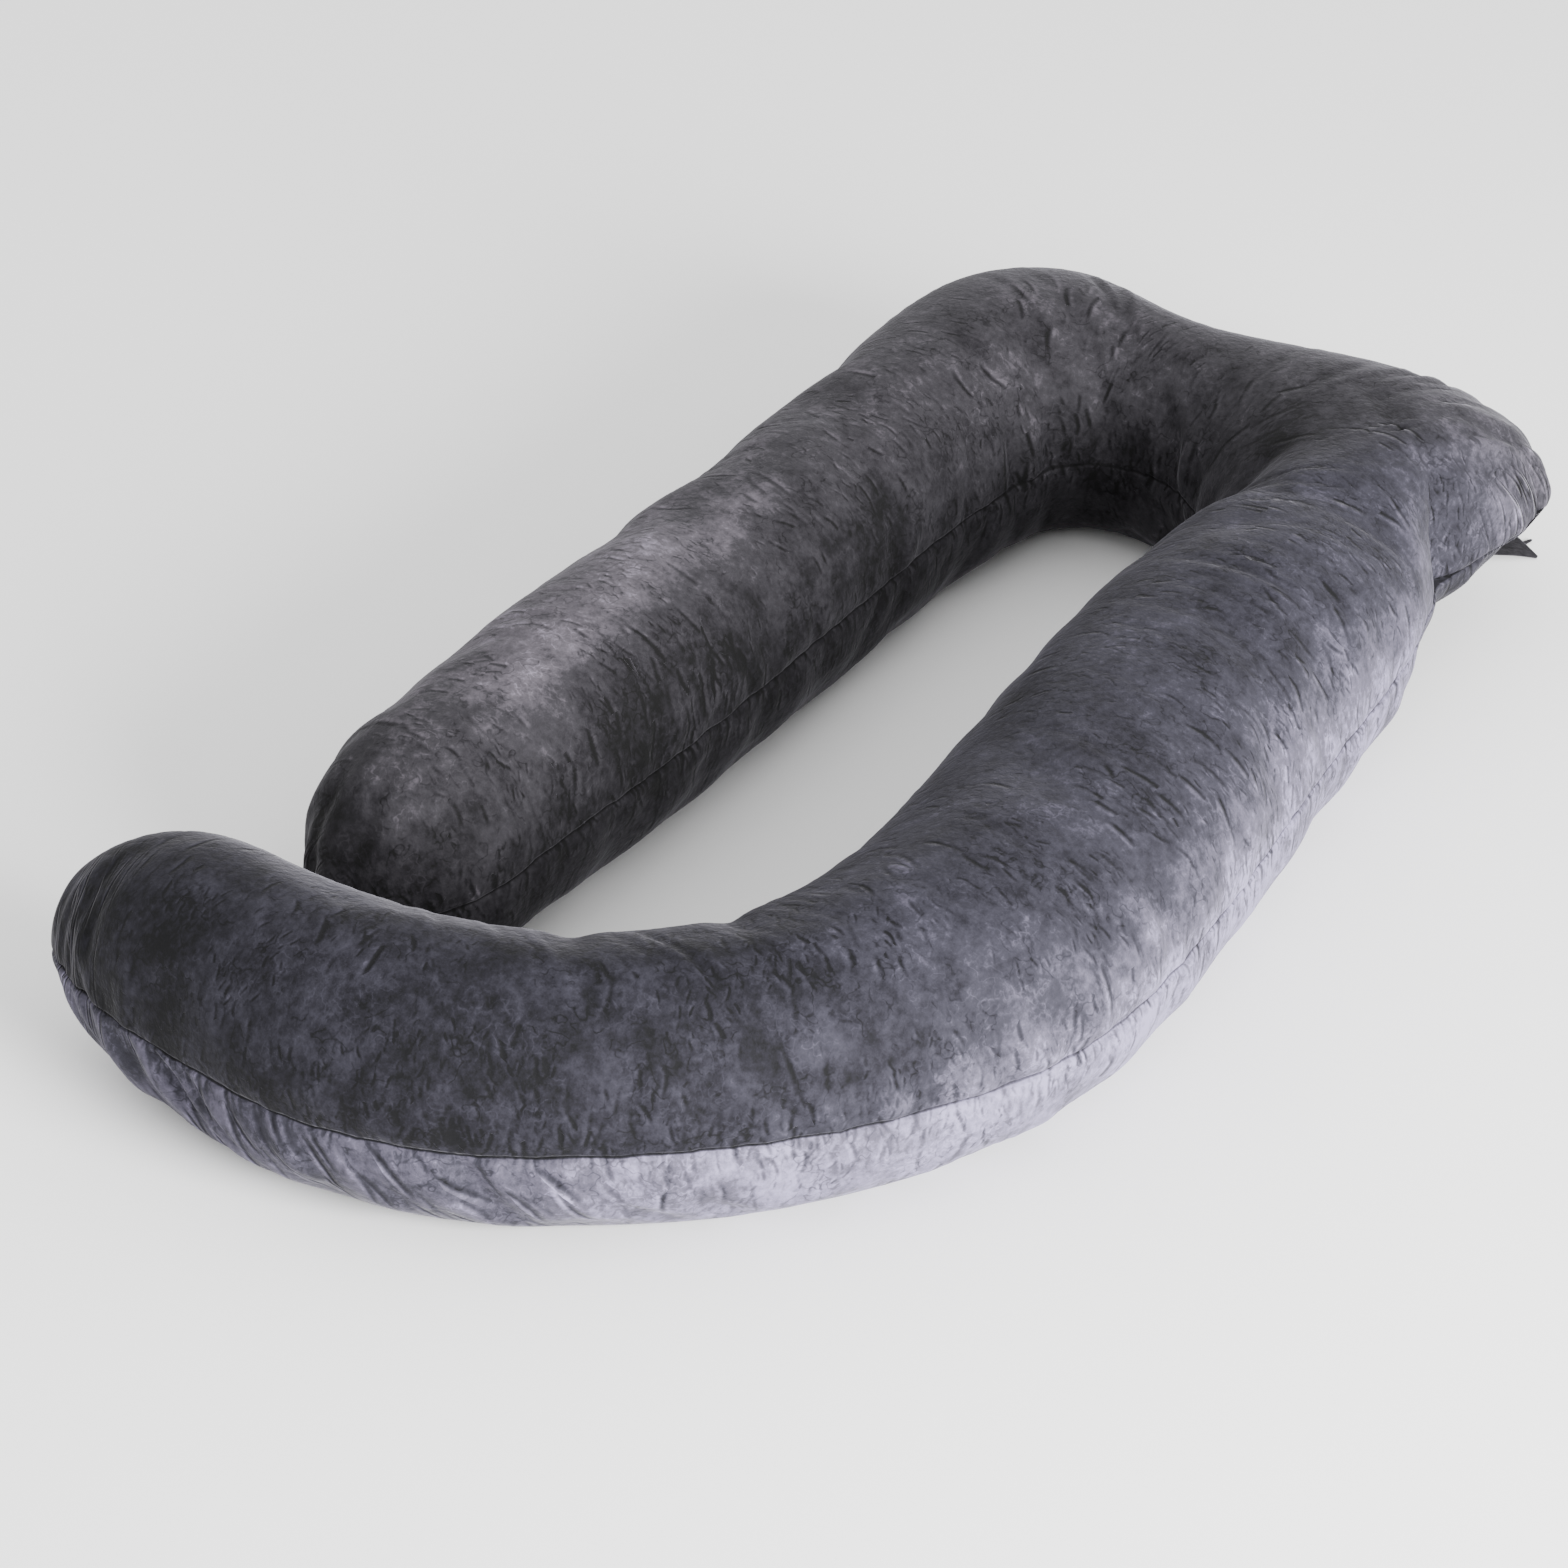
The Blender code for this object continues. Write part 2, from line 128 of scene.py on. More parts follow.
# Folds pressed into the panels: x and y of the start, x and y of the end, depth at each, and half width.
FOLDS = (
    (0.352, 0.592, 0.285, 0.645, 0.022, 0.001, 0.015),
    (0.258, 0.656, 0.214, 0.702, 0.0045, 0.004, 0.006),
    (0.214, 0.702, 0.168, 0.729, 0.004, 0.0015, 0.0055),
    (0.362, 0.77, 0.29, 0.725, 0.006, 0.002, 0.011),
    (0.335, 0.825, 0.262, 0.745, 0.005, 0.001, 0.011),
    (-0.058, 0.612, -0.16, 0.67, 0.009, 0.002, 0.013),
    (-0.03, 0.64, -0.105, 0.712, 0.007, 0.002, 0.012),
    (-0.082, 0.57, -0.175, 0.605, 0.006, 0.001, 0.013),
    (0.112, 0.5, 0.17, 0.6, 0.01, 0.003, 0.015),
    (0.095, -0.29, 0.19, -0.37, 0.01, 0.002, 0.016),
    (0.03, -0.37, 0.09, -0.47, 0.009, 0.002, 0.016),
    (-0.355, -0.56, -0.3, -0.5, 0.004, 0.001, 0.009),
    (-0.318, -0.59, -0.28, -0.51, 0.004, 0.001, 0.009),
    (-0.265, -0.32, -0.24, -0.24, 0.004, 0.001, 0.009),
    (-0.212, -0.335, -0.205, -0.255, 0.004, 0.001, 0.009),
)

PLEAT_WINDOW = 0.14  # the furthest that a pleat goes along the tube, either way
PLEAT_START = 0.006  # it rises to its depth over this distance from the seam
# Pleats that start at a seam: side, 0 for the outer and 1 for the inner seam; panel, 1 above it and -1
# below it; from and to which distance along the tube; pitch; length; width; depth; and lean, in metres
# along the tube for each metre away from the seam.
PLEATS = (
    (0, 1, 0.0, 3.97, 0.046, 0.045, 0.0085, 0.0022, 0.1),
    (0, -1, 0.0, 3.97, 0.05, 0.04, 0.0085, 0.002, -0.3),
    (1, 1, 0.0, 3.97, 0.042, 0.055, 0.0085, 0.0028, 0.1),
    (1, -1, 0.0, 3.97, 0.05, 0.045, 0.0085, 0.0022, -0.2),
    # the curl's lower band, where long pleats lean over together
    (0, -1, 3.32, 3.88, 0.026, 0.09, 0.008, 0.0036, -0.95),
    # both tips
    (0, 1, 3.8, 3.97, 0.02, 0.12, 0.006, 0.0022, 0.05),
    (0, 1, 0.0, 0.16, 0.02, 0.09, 0.006, 0.0022, -0.05),
    # the outer side of the bend into the curl, and the head's far end
    (0, 1, 2.75, 3.15, 0.04, 0.1, 0.009, 0.0038, 0.25),
    (0, 1, 1.8, 2.02, 0.03, 0.09, 0.008, 0.004, 0.1),
)

# Bands of long creases across the tube: from and to which distance along it; how many; from and to which
# angle round the section in degrees (0 outer seam, 90 crown, 180 inner seam); lean and bow along the tube;
# depth; and width.
BANDS = (
    (2.06, 2.42, 24, 20, 125, -0.1, 0.05, 0.0016, 0.004),
    (2.42, 2.95, 18, 25, 130, -0.08, 0.04, 0.0012, 0.004),
    (1.1, 1.4, 12, 60, 150, 0.04, 0.02, 0.0022, 0.0055),
    (2.95, 3.75, 26, 30, 140, 0.03, 0.02, 0.0012, 0.004),
    (0.15, 1.0, 18, 40, 140, 0.05, 0.02, 0.0011, 0.004),
    (1.6, 1.95, 14, 10, 110, 0.03, 0.03, 0.0018, 0.0045),
)

# Areas of painted light and shade: the pile's tone is lifted where light falls, as on the lower band, the
# front arm's outer side and the back arm's outer top, and lowered where shade falls, as on the foot's top
# and the back arm's inner side: from and to which distance along the tube, between which angles round it,
# on which panel (1 upper, -1 lower, 0 both), and by how much on the tone scale from 0, darkest, to 1.
PAINTED_LIGHT_AREAS = (
    (2.16, 3.34, -100, 90, -1, 0.66),
    (2.14, 3.21, -20, 12, 1, 0.36),
    (2.14, 2.98, -20, 34, 1, 0.34),
    (3.34, 4.1, -100, 90, -1, 0.28),
    (3.2, 4.1, -20, 200, 1, -0.13),
    (3.06, 3.56, -20, 200, 1, -0.09),
    (3.7, 4.1, -20, 60, 1, -0.16),
    (3.3, 3.72, 90, 150, 1, 0.16),
    (1.8, 2.04, -20, 72, 1, 0.26),
    (1.74, 2.02, 78, 140, 1, -0.2),
    (0.19, 0.6, 50, 116, 1, 0.44),
    (0.6, 1.04, 50, 106, 1, 0.17),
    (1.04, 1.45, 50, 160, 1, 0.08),
    (-0.1, 0.16, -20, 132, 1, -0.06),
    (-0.1, 0.95, 132, 230, 0, -0.16),
)
BASE_TONE = 0.20
LILAC = (1.95, 9.0, -100, 400)  # the area where the pile shows a lilac grey
FIRST_DEGREE = -100  # angles round a section are counted from here, under the outer seam
# How soft the edges of those areas are, in metres along the tube and in degrees.
PAINTED_LIGHT_EDGE, LILAC_EDGE, GATHERED_EDGE = (0.040, 6.0), (0.050, 8.0), (0.012, 3.0)
# In the material the relief paints shade into its troughs and light onto its ridges.
RELIEF_RANGE, RELIEF_CLIP = 0.0015, 1.5  # the relief that counts as 1 in the material, and the most there

# Areas where the cloth is drawn together in fine pleats, straight across the tube or slanted.
GATHERED = (
    (3.83, 4.1, -60, 84),
    (-0.1, 0.07, -60, 60),
    (3.88, 4.1, 120, 240),
    (1.84, 2.02, -30, 30),
)
SLANTED = ((3.32, 3.92, -100, -1),)

TIE_GRID = (90, 17)  # stations along a tail, and points across it
TIE_SEWN_HEIGHT = 0.0985  # where the tails come out of the seam
TIE_WAVE_HEIGHT, TIE_WAVES = 0.0012, 1.6  # soft waves across a tail where it hangs
TIE_FLOOR_GAP = 0.0001
TIE_TONE = -0.10  # the ties are darker than the case
# Tie tails: x, y and z of the middle line, the direction that the width points in, and the width.
TIES = {
    "tie_front": (
        (0.214, 0.8562, 0.0985, 1.0, 0.0, 0.0, 0.04),
        (0.214, 0.866, 0.08, 1.0, -0.02, 0.0, 0.041),
        (0.215, 0.873, 0.05, 0.97, -0.2, 0.1, 0.042),
        (0.219, 0.875, 0.026, 0.8, -0.58, 0.1, 0.044),
        (0.23, 0.875, 0.01, 0.45, -0.89, 0.04, 0.048),
        (0.246, 0.8735, 0.0056, 0.15, -0.99, 0.0, 0.054),
        (0.264, 0.872, 0.0046, 0.06, -1.0, 0.0, 0.058),
        (0.279, 0.871, 0.0046, 0.04, -1.0, 0.0, 0.046),
        (0.297, 0.87, 0.0036, 0.02, -1.0, 0.0, 0.023),
        (0.3135, 0.8695, 0.001, 0.02, -1.0, 0.0, 0.003),
    ),
    "tie_back": (
        (0.16, 0.8558, 0.0985, 1.0, 0.03, 0.0, 0.04),
        (0.16, 0.8672, 0.08, 1.0, 0.0, 0.0, 0.04),
        (0.161, 0.88, 0.05, 0.98, -0.18, 0.0, 0.04),
        (0.165, 0.886, 0.024, 0.88, -0.48, 0.0, 0.039),
        (0.176, 0.888, 0.008, 0.5, -0.87, 0.0, 0.038),
        (0.194, 0.886, 0.0008, 0.05, -1.0, 0.0, 0.036),
        (0.222, 0.879, 0.0008, -0.15, -0.99, 0.0, 0.032),
        (0.25, 0.874, 0.0008, 0.02, -1.0, 0.0, 0.024),
        (0.274, 0.876, 0.0008, 0.5, -0.87, 0.0, 0.013),
        (0.289, 0.886, 0.0008, 0.85, -0.53, 0.0, 0.006),
        (0.2945, 0.899, 0.0008, 0.93, -0.37, 0.0, 0.002),
    ),
}

# The camera turns round this point in the tables' frame, as the photograph's does.
CAMERA_TARGET = (0.0, 0.0, 0.1)
CAMERA_AZIMUTH, CAMERA_ELEVATION = 31.0, 31.0
CAMERA_DISTANCE = 4.5
CAMERA_LENS, CAMERA_SENSOR = 121.9, 36.0

FLOOR_HALF_SIDE, FLOOR_DROP = 14.0, 0.0006  # the floor lies just under the pillow
SKY_STRENGTH = 1.6
SOFTBOX_PLACE, SOFTBOX_AIM, SOFTBOX_SIZE, SOFTBOX_POWER = (4.0, -1.7, 1.35), (0.1, -0.1, 0.1), 2.4, 950.0


def linear_from_hex(text):
    """Linear red, green and blue of an sRGB hex colour."""
    values = [int(text[k : k + 2], 16) / 255 for k in (1, 3, 5)]
    return tuple(v / 12.92 if v <= 0.04045 else ((v + 0.055) / 1.055) ** 2.4 for v in values)


def length_setting(name, description, default):
    return FloatProperty(name=name, description=description, default=default, unit="LENGTH")


def colour_setting(name, description, text):
    default = linear_from_hex(text)
    return FloatVectorProperty(name=name, description=description, subtype="COLOR", default=default)


class PillowSizes(bpy.types.PropertyGroup):
    seam_depth: length_setting("Seam depth", "How deep the seam sits between the two panels", 0.0040)
    swell_limit: length_setting(
        "Swell limit", "The most that the simulated cloth may move from its pattern", 0.0042
    )
    pleat_scale: FloatProperty(
        name="Pleat scale", description="Depth of every pleat, against its table", default=1.0
    )
    crinkle_depth: length_setting(
        "Crinkle depth", "Depth of the small crushed creases all over the panels", 0.0011
    )
    tie_thickness: length_setting("Tie thickness", "Thickness of a tie tail", 0.0015)


class PillowColours(bpy.types.PropertyGroup):
    # The darkest stop shows inside the pressed marks, where it is partly painted shade in the crease.
    pile_deep_and_crease_shade: colour_setting("Creased pile", "The pile inside a sharp crease", "#08080A")
    pile_dark: colour_setting("Standing pile", "Where the pile stands up and swallows the light", "#15141A")
    pile_middle: colour_setting("Pile", "The pile's own grey", "#2A2931")
    pile_light: colour_setting("Bent pile", "The pile where it leans over", "#4B4855")
    # The palest stop shows mostly where painted light lifts the tone, as on the lower band and the front
    # arm's outer side, and partly on the pale edges of marks.
    pile_pale: colour_setting("Brushed pile", "The pile where it was stroked flat", "#78738B")
    floor: colour_setting("Floor", "The studio floor", "#F6F6F6")


def natural_spline(knots, values, where):
    """Cubic through the values at the knots, with no bend at either end."""
    gaps = np.diff(knots)
    slopes = np.diff(values, axis=0) / gaps[:, None]
    size = len(knots)
    inner = np.arange(1, size - 1)
    system = np.eye(size)
    system[inner, inner - 1], system[inner, inner + 1] = gaps[:-1], gaps[1:]
    system[inner, inner] = 2 * (gaps[:-1] + gaps[1:])
    right = np.zeros_like(values)
    right[1:-1] = 6 * (slopes[1:] - slopes[:-1])
    bends = np.linalg.solve(system, right)
    part = np.clip(np.searchsorted(knots, where, side="right") - 1, 0, size - 2)
    gap = gaps[part][:, None]
    before, after = (knots[part + 1] - where)[:, None], (where - knots[part])[:, None]
    curve = (bends[part] * before**3 + bends[part + 1] * after**3) / (6 * gap)
    left = (values[part] / gap - bends[part] * gap / 6) * before
    return curve + left + (values[part + 1] / gap - bends[part + 1] * gap / 6) * after


def smooth_noise(x, y, seed):
    """Gradient noise, about -1 to 1, with one feature a unit: each lattice corner has a random slope, and
    the four slopes round a point are blended by a quintic ease."""

    def slope(i, j):
        mixed = (i * 374761393 + j * 668265263 + seed * 974634777) & 0xFFFFFFFF
        mixed = ((mixed ^ (mixed >> 13)) * 1274126177) & 0xFFFFFFFF
        turn = ((mixed ^ (mixed >> 16)) & 0xFFFF) * (2 * np.pi / 65536)
        return np.cos(turn), np.sin(turn)

    i, j = np.floor(x).astype(np.int64), np.floor(y).astype(np.int64)
    u, v = x - i, y - j
    ease_u, ease_v = u**3 * (u * (u * 6 - 15) + 10), v**3 * (v * (v * 6 - 15) + 10)
    total = 0.0
    for di, wu in ((0, 1 - ease_u), (1, ease_u)):
        for dj, wv in ((0, 1 - ease_v), (1, ease_v)):
            gx, gy = slope(i + di, j + dj)
            total = total + wu * wv * (gx * (u - di) + gy * (v - dj))
    return 1.6 * total


def unit(vectors):
    return vectors / np.maximum(np.linalg.norm(vectors, axis=-1, keepdims=True), 1e-12)


def running_total(steps):
    return np.concatenate([[0.0], np.cumsum(steps)])


def steps_along(rows):
    """Distances from section to section, on the longer side, so that no pattern is stretched."""
    steps = np.diff(rows, axis=0)
    return np.maximum(np.linalg.norm(steps[:, 0:2], axis=1), np.linalg.norm(steps[:, 2:4], axis=1))


def tip_sections(last, heading, reach, lean, count):
    """Sections of a rounded end: the half width falls as a cosine while the middle moves out as a sine."""
    outer, inner, crown = last[0:2], last[2:4], last[4]
    middle, half = (outer + inner) / 2, (outer - inner) / 2
    side = unit(half)
    turn = np.pi / 2 * np.arange(1, count + 1) / count
    width = np.maximum(np.cos(turn), 0.0)[:, None]
    centre = middle + heading * reach * np.sin(turn)[:, None] + side * lean * (1 - width)
    rise = (crown - SEAM_HEIGHT) * width**CROWN_ROUNDING
    return np.hstack([centre + half * width, centre - half * width, SEAM_HEIGHT + rise, width])


def stations(body_count, tip_count):
    """All sections from tip to tip, with the width factor in the last column, and their distance along."""
    table = np.array(SECTIONS)
    middles = (table[:, 0:2] + table[:, 2:4]) / 2
    knots = running_total(np.linalg.norm(np.diff(middles, axis=0), axis=1))
    spread = running_total(steps_along(table))
    where = np.interp(np.linspace(0.0, spread[-1], body_count), spread, knots)
    body = natural_spline(knots, table, where)
    centres = (body[:, 0:2] + body[:, 2:4]) / 2
    back_way, foot_way = unit(centres[0] - centres[1]), unit(centres[-1] - centres[-2])
    body = np.column_stack([body, np.ones(len(body))])
    back = tip_sections(body[0], back_way, BACK_TIP_REACH, BACK_TIP_LEAN, tip_count)[::-1]
    foot = tip_sections(body[-1], foot_way, FOOT_TIP_REACH, FOOT_TIP_LEAN, tip_count)
    rows = np.vstack([back, body, foot])
    return rows, running_total(steps_along(rows))


def pillow_pattern(grid):
    """The smooth tube: a row for each station and a column for each angle. A section is a superellipse
    between its two seams, its lower half flattened by the floor."""
    body_count, tip_count, around = grid
    rows, along = stations(body_count, tip_count)
    even = 2 * np.pi * np.arange(around) / around
    angles = even - SEAM_CROWDING * np.sin(2 * even)
    cos, sin = np.cos(angles), np.sin(angles)
    seam_z = (SEAM_HEIGHT - BACK_SEAM_DROP * np.exp(-((along / BACK_SEAM_REACH) ** 2)))[:, None]
    outer, inner, crown, width = rows[:, 0:2], rows[:, 2:4], rows[:, 4], rows[:, 5]
    from_corner = np.linalg.norm(outer - np.array(CORNER), axis=1)[:, None]
    loss = CORNER_POWER_LOSS * np.exp(-((from_corner / CORNER_SPREAD) ** 2))
    power = SECTION_POWER - np.where((cos > 0) & (sin < 0), loss, 0.0)
    across, height = (np.sign(part) * np.abs(part) ** (2 / power) for part in (cos, sin))
    middle, half = (outer + inner) / 2, (outer - inner) / 2
    plan = middle[:, None, :] + half[:, None, :] * across[..., None] - OUTLINE_MIDDLE
    rise = crown[:, None] - SEAM_HEIGHT + (SEAM_HEIGHT - seam_z) * width[:, None]
    drop = seam_z * FLOOR_PRESS * (width**UNDERSIDE_ROUNDING)[:, None] * np.clip(-height, 0, None)
    z = np.maximum(seam_z + rise * np.clip(height, 0, None) - drop, 0.0)
    return np.concatenate([plan, z[..., None]], axis=-1), along, angles, width


def grid_normals(points):
    """Unit normals of a grid that is closed round its columns, pointing out of the tube."""
    along = np.gradient(points, axis=0)
    around = np.roll(points, -1, axis=1) - np.roll(points, 1, axis=1)
    return unit(np.cross(around, along))


def tube_faces(rings, around):
    """Quads between the rings, and triangles from the first and last ring to their tip points."""
    here = np.arange(rings - 1)[:, None] * around
    k = np.arange(around)[None, :]
    nxt = (k + 1) % around
    quads = np.stack([here + k, here + nxt, here + around + nxt, here + around + k], -1).reshape(-1, 4)
    k, nxt = k[0], nxt[0]
    first, last = rings * around, rings * around + 1
    start = np.stack([np.full(around, first), nxt, k], -1)
    end = np.stack([np.full(around, last), (rings - 1) * around + k, (rings - 1) * around + nxt], -1)
    return quads, np.vstack([start, end])


def tube_values(grid):
    """A grid's numbers or vectors in the order of the tube's vertices, with its two tip points last."""
    return np.concatenate([grid[1:-1].reshape(-1, *grid.shape[2:]), grid[[0, -1]].mean(axis=1)])


def tube_mesh(name, points):
    """Mesh of a grid whose first and last rows shrink to a point. Faces point out."""
    vertices = tube_values(points)
    quads, triangles = tube_faces(len(points) - 2, points.shape[1])
    mesh = bpy.data.meshes.new(name)
    mesh.from_pydata(vertices, [], [*quads.tolist(), *triangles.tolist()])
    mesh.shade_smooth()
    mesh.validate()
    return mesh


def link(name, data):
    made = bpy.data.objects.new(name, data)
    bpy.context.scene.collection.objects.link(made)
    return made


def cubic_resample(values, where, wrap):
    """Catmull-Rom interpolation down the first axis at fractional rows."""
    count = len(values)
    base = np.floor(where).astype(int)
    t = (where - base).reshape((-1,) + (1,) * (values.ndim - 1))

    def at(offset):
        index = base + offset
        return values[index % count] if wrap else values[np.clip(index, 0, count - 1)]

    a, b, c, d = at(-1), at(0), at(1), at(2)
    return b + 0.5 * t * (c - a + t * (2 * a - 5 * b + 4 * c - d + t * (3 * (b - c) + d - a)))


def swelled_cloth(limit):
    """How far a coarse copy of the case moves when it is filled: the panels are cut a little larger than
    the pattern, the seams are held, and air pressure swells them. The move is capped."""
    points, along, _, width = pillow_pattern(CLOTH_GRID)
    normals = grid_normals(points)
    rings, around = points.shape[0] - 2, points.shape[1]
    inset = CLOTH_INSET * limit * np.minimum(1, 2 * width)[:, None, None]
    mesh = tube_mesh("cloth_trial", points - inset * normals)
    trial = link("cloth_trial", mesh)
    held = trial.vertex_groups.new(name="sewn")
    for column in (0, around // 2):
        held.add([int(r * around + column) for r in range(rings)], 1.0, "REPLACE")
    low = points[1:-1, :, 2].ravel() < CLOTH_FLOOR_HEIGHT
    held.add([int(k) for k in np.nonzero(low)[0]], CLOTH_FLOOR_HOLD, "REPLACE")
    held.add([rings * around, rings * around + 1], 1.0, "REPLACE")
    cloth = trial.modifiers.new("cloth", "CLOTH")
    settings = cloth.settings
    settings.quality = 4
    settings.mass = 0.25
    settings.tension_stiffness = settings.compression_stiffness = 12
    settings.shear_stiffness = 4
    settings.bending_stiffness = 1.2
    settings.tension_damping = settings.compression_damping = 6
    settings.shrink_min = -0.045
    settings.use_pressure = True
    settings.uniform_pressure_force = 4.0
    settings.vertex_group_mass = "sewn"
    settings.pin_stiffness = 1.0
    settings.effector_weights.gravity = 0.0
    cloth.collision_settings.use_collision = False
    cloth.point_cache.frame_start, cloth.point_cache.frame_end = 1, CLOTH_LAST_FRAME
    scene = bpy.context.scene
    for number in range(1, CLOTH_LAST_FRAME + 1):
        scene.frame_set(number)
    graph = bpy.context.evaluated_depsgraph_get()
    shown = trial.evaluated_get(graph).data
    moved = np.empty(len(shown.vertices) * 3)
    shown.vertices.foreach_get("co", moved)
    scene.frame_set(1)
    bpy.data.objects.remove(trial)
    bpy.data.meshes.remove(mesh)
    moved = moved.reshape(-1, 3)
    grid = points.copy()
    grid[1:-1] = moved[:-2].reshape(rings, around, 3)
    offset = np.sum((grid - points) * normals, axis=-1)
    offset = limit * np.tanh(offset / limit)
    for _ in range(CLOTH_SMOOTHING):
        offset[1:-1] = (offset[:-2] + 2 * offset[1:-1] + offset[2:]) / 4
    from_tip = np.minimum(along, along[-1] - along)
    offset *= np.clip(from_tip / CLOTH_TIP_FADE, 0.0, 1.0)[:, None] ** 1.5
    return offset, along


def fold_depth(plan):
    """Depth of the pressed folds at each plan point: soft across, fading past both ends. Where two folds
    meet, the deeper one counts."""
    depth = np.zeros(plan.shape[:-1])
    for from_x, from_y, to_x, to_y, from_depth, to_depth, half_width in FOLDS:
        start = np.array((from_x, from_y)) - OUTLINE_MIDDLE
        way = np.array((to_x - from_x, to_y - from_y))
        held = np.clip(((plan - start) @ way) / (way @ way), 0.0, 1.0)
        away = np.linalg.norm(plan - start - held[..., None] * way, axis=-1)
        pressed = (from_depth + (to_depth - from_depth) * held) * np.exp(-((away / half_width) ** 2))
        depth = np.maximum(depth, pressed)
    return depth


def pleat_relief(along, pace, seam_gap, upper, scale):
    """Pleats from the seams. Across a pleat a trough is followed by a lower ridge; along it the depth
    rises from the seam in a few millimetres and dies away at its length. Each draws its own place, reach,
    width, depth, lean and bow, round what its row says."""
    random = np.random.default_rng(7)
    relief = np.zeros(upper.shape)
    for side, panel, from_s, to_s, pitch, length, width, depth, lean in PLEATS:
        on_panel = upper if panel > 0 else ~upper
        away = seam_gap[side]
        for s in np.arange(from_s, to_s, pitch):
            place = s + random.uniform(-0.45, 0.45) * pitch
            reach = length * random.uniform(0.45, 1.5)
            wide = width * random.uniform(0.7, 1.5)
            deep = depth * scale * random.uniform(0.25, 1.3)
            tilt = lean + random.normal(0.0, 0.22)
            bow = random.normal(0.0, 2.0)
            low, high = np.searchsorted(along, (place - PLEAT_WINDOW, place + PLEAT_WINDOW))
            if high - low < 2:
                continue
            gap = away[low:high]
            across = pace[low:high] * (along[low:high, None] - place) - tilt * gap - bow * gap**2
            across = across / (wide * (1 + gap / reach))
            shape = -np.exp(-(across**2)) + 0.6 * np.exp(-((across - 1.7) ** 2))
            rise = 1 - np.exp(-gap / PLEAT_START)
            fall = 1 / (1 + np.exp((gap - reach) / (0.22 * reach)))
            relief[low:high] += np.where(on_panel[low:high], deep * shape * rise * fall, 0.0)
    return relief


def band_relief(along, pace, angles):
    """Long creases across the tube, soft at both ends: a trough with a lower ridge beside it. Each draws
    its own place, ends, lean, bow, width and depth, round what its row says."""
    random = np.random.default_rng(21)
    degrees = np.degrees(angles)[None, :]
    relief = np.zeros((len(along), len(angles)))
    for from_s, to_s, count, from_deg, to_deg, lean, bow, depth, width in BANDS:
        for _ in range(count):
            place = random.uniform(from_s, to_s)
            first = from_deg + random.uniform(0, 0.55) * (to_deg - from_deg)
            last = min(to_deg, first + random.uniform(0.25, 0.6) * (to_deg - from_deg))
            share = (degrees - first) / (last - first)
            turn = (degrees - 90) / 90
            path = place + lean * turn * random.uniform(0.6, 1.4) - bow * turn**2 * random.uniform(0.5, 1.5)
            wide = width * random.uniform(0.7, 1.6)
            deep = depth * random.uniform(0.4, 1.3)
            across = pace * (along[:, None] - path) / wide
            shape = -np.exp(-(across**2)) + 0.7 * np.exp(-((across - 1.6) ** 2))
            ends = np.clip(4 * share * (1 - share), 0, 1) ** 0.7 * (share > 0) * (share < 1)
            relief += deep * shape * ends
    return relief


def crinkle_relief(along, arc, upper):
    """Small crushed creases: noise stretched round the section and warped along it, folded about zero so
    that it has sharp valleys, and stronger in patches. Every divisor is a feature's size in metres, and
    the last number in each call of the noise is its seed."""
    u = np.broadcast_to(along[:, None], arc.shape)
    v = arc + np.where(upper, 0.0, LOWER_PANEL_SHIFT)
    warp_u = 0.030 * smooth_noise(u / 0.13, v / 0.10, 3) + 0.010 * smooth_noise(u / 0.04, v / 0.05, 4)
    warp_v = 0.025 * smooth_noise(u / 0.11, v / 0.12, 5)
    wu, wv = u + warp_u, v + warp_v
    first = np.abs(smooth_noise(wu / 0.021, wv / 0.060, 6))
    second = np.abs(smooth_noise(wu / 0.012 + 0.3 * wv / 0.03, wv / 0.034, 8))
    patches = np.clip(0.55 + 0.9 * smooth_noise(u / 0.16, v / 0.13, 9), 0.05, 1.3)
    return (first - 0.35) * patches + 0.45 * (second - 0.35) * patches


def soft_area(along, angles, area, edge):
    """A share from 0 to 1 that is 1 between two distances and two angles, by logistic edges."""
    degrees = (np.degrees(angles)[None, :] - FIRST_DEGREE) % 360 + FIRST_DEGREE
    share = 1.0
    for value, first, last, soft in zip((along[:, None], degrees), area[::2], area[1::2], edge):
        share = share / (1 + np.exp((first - value) / soft)) / (1 + np.exp((value - last) / soft))
    return share


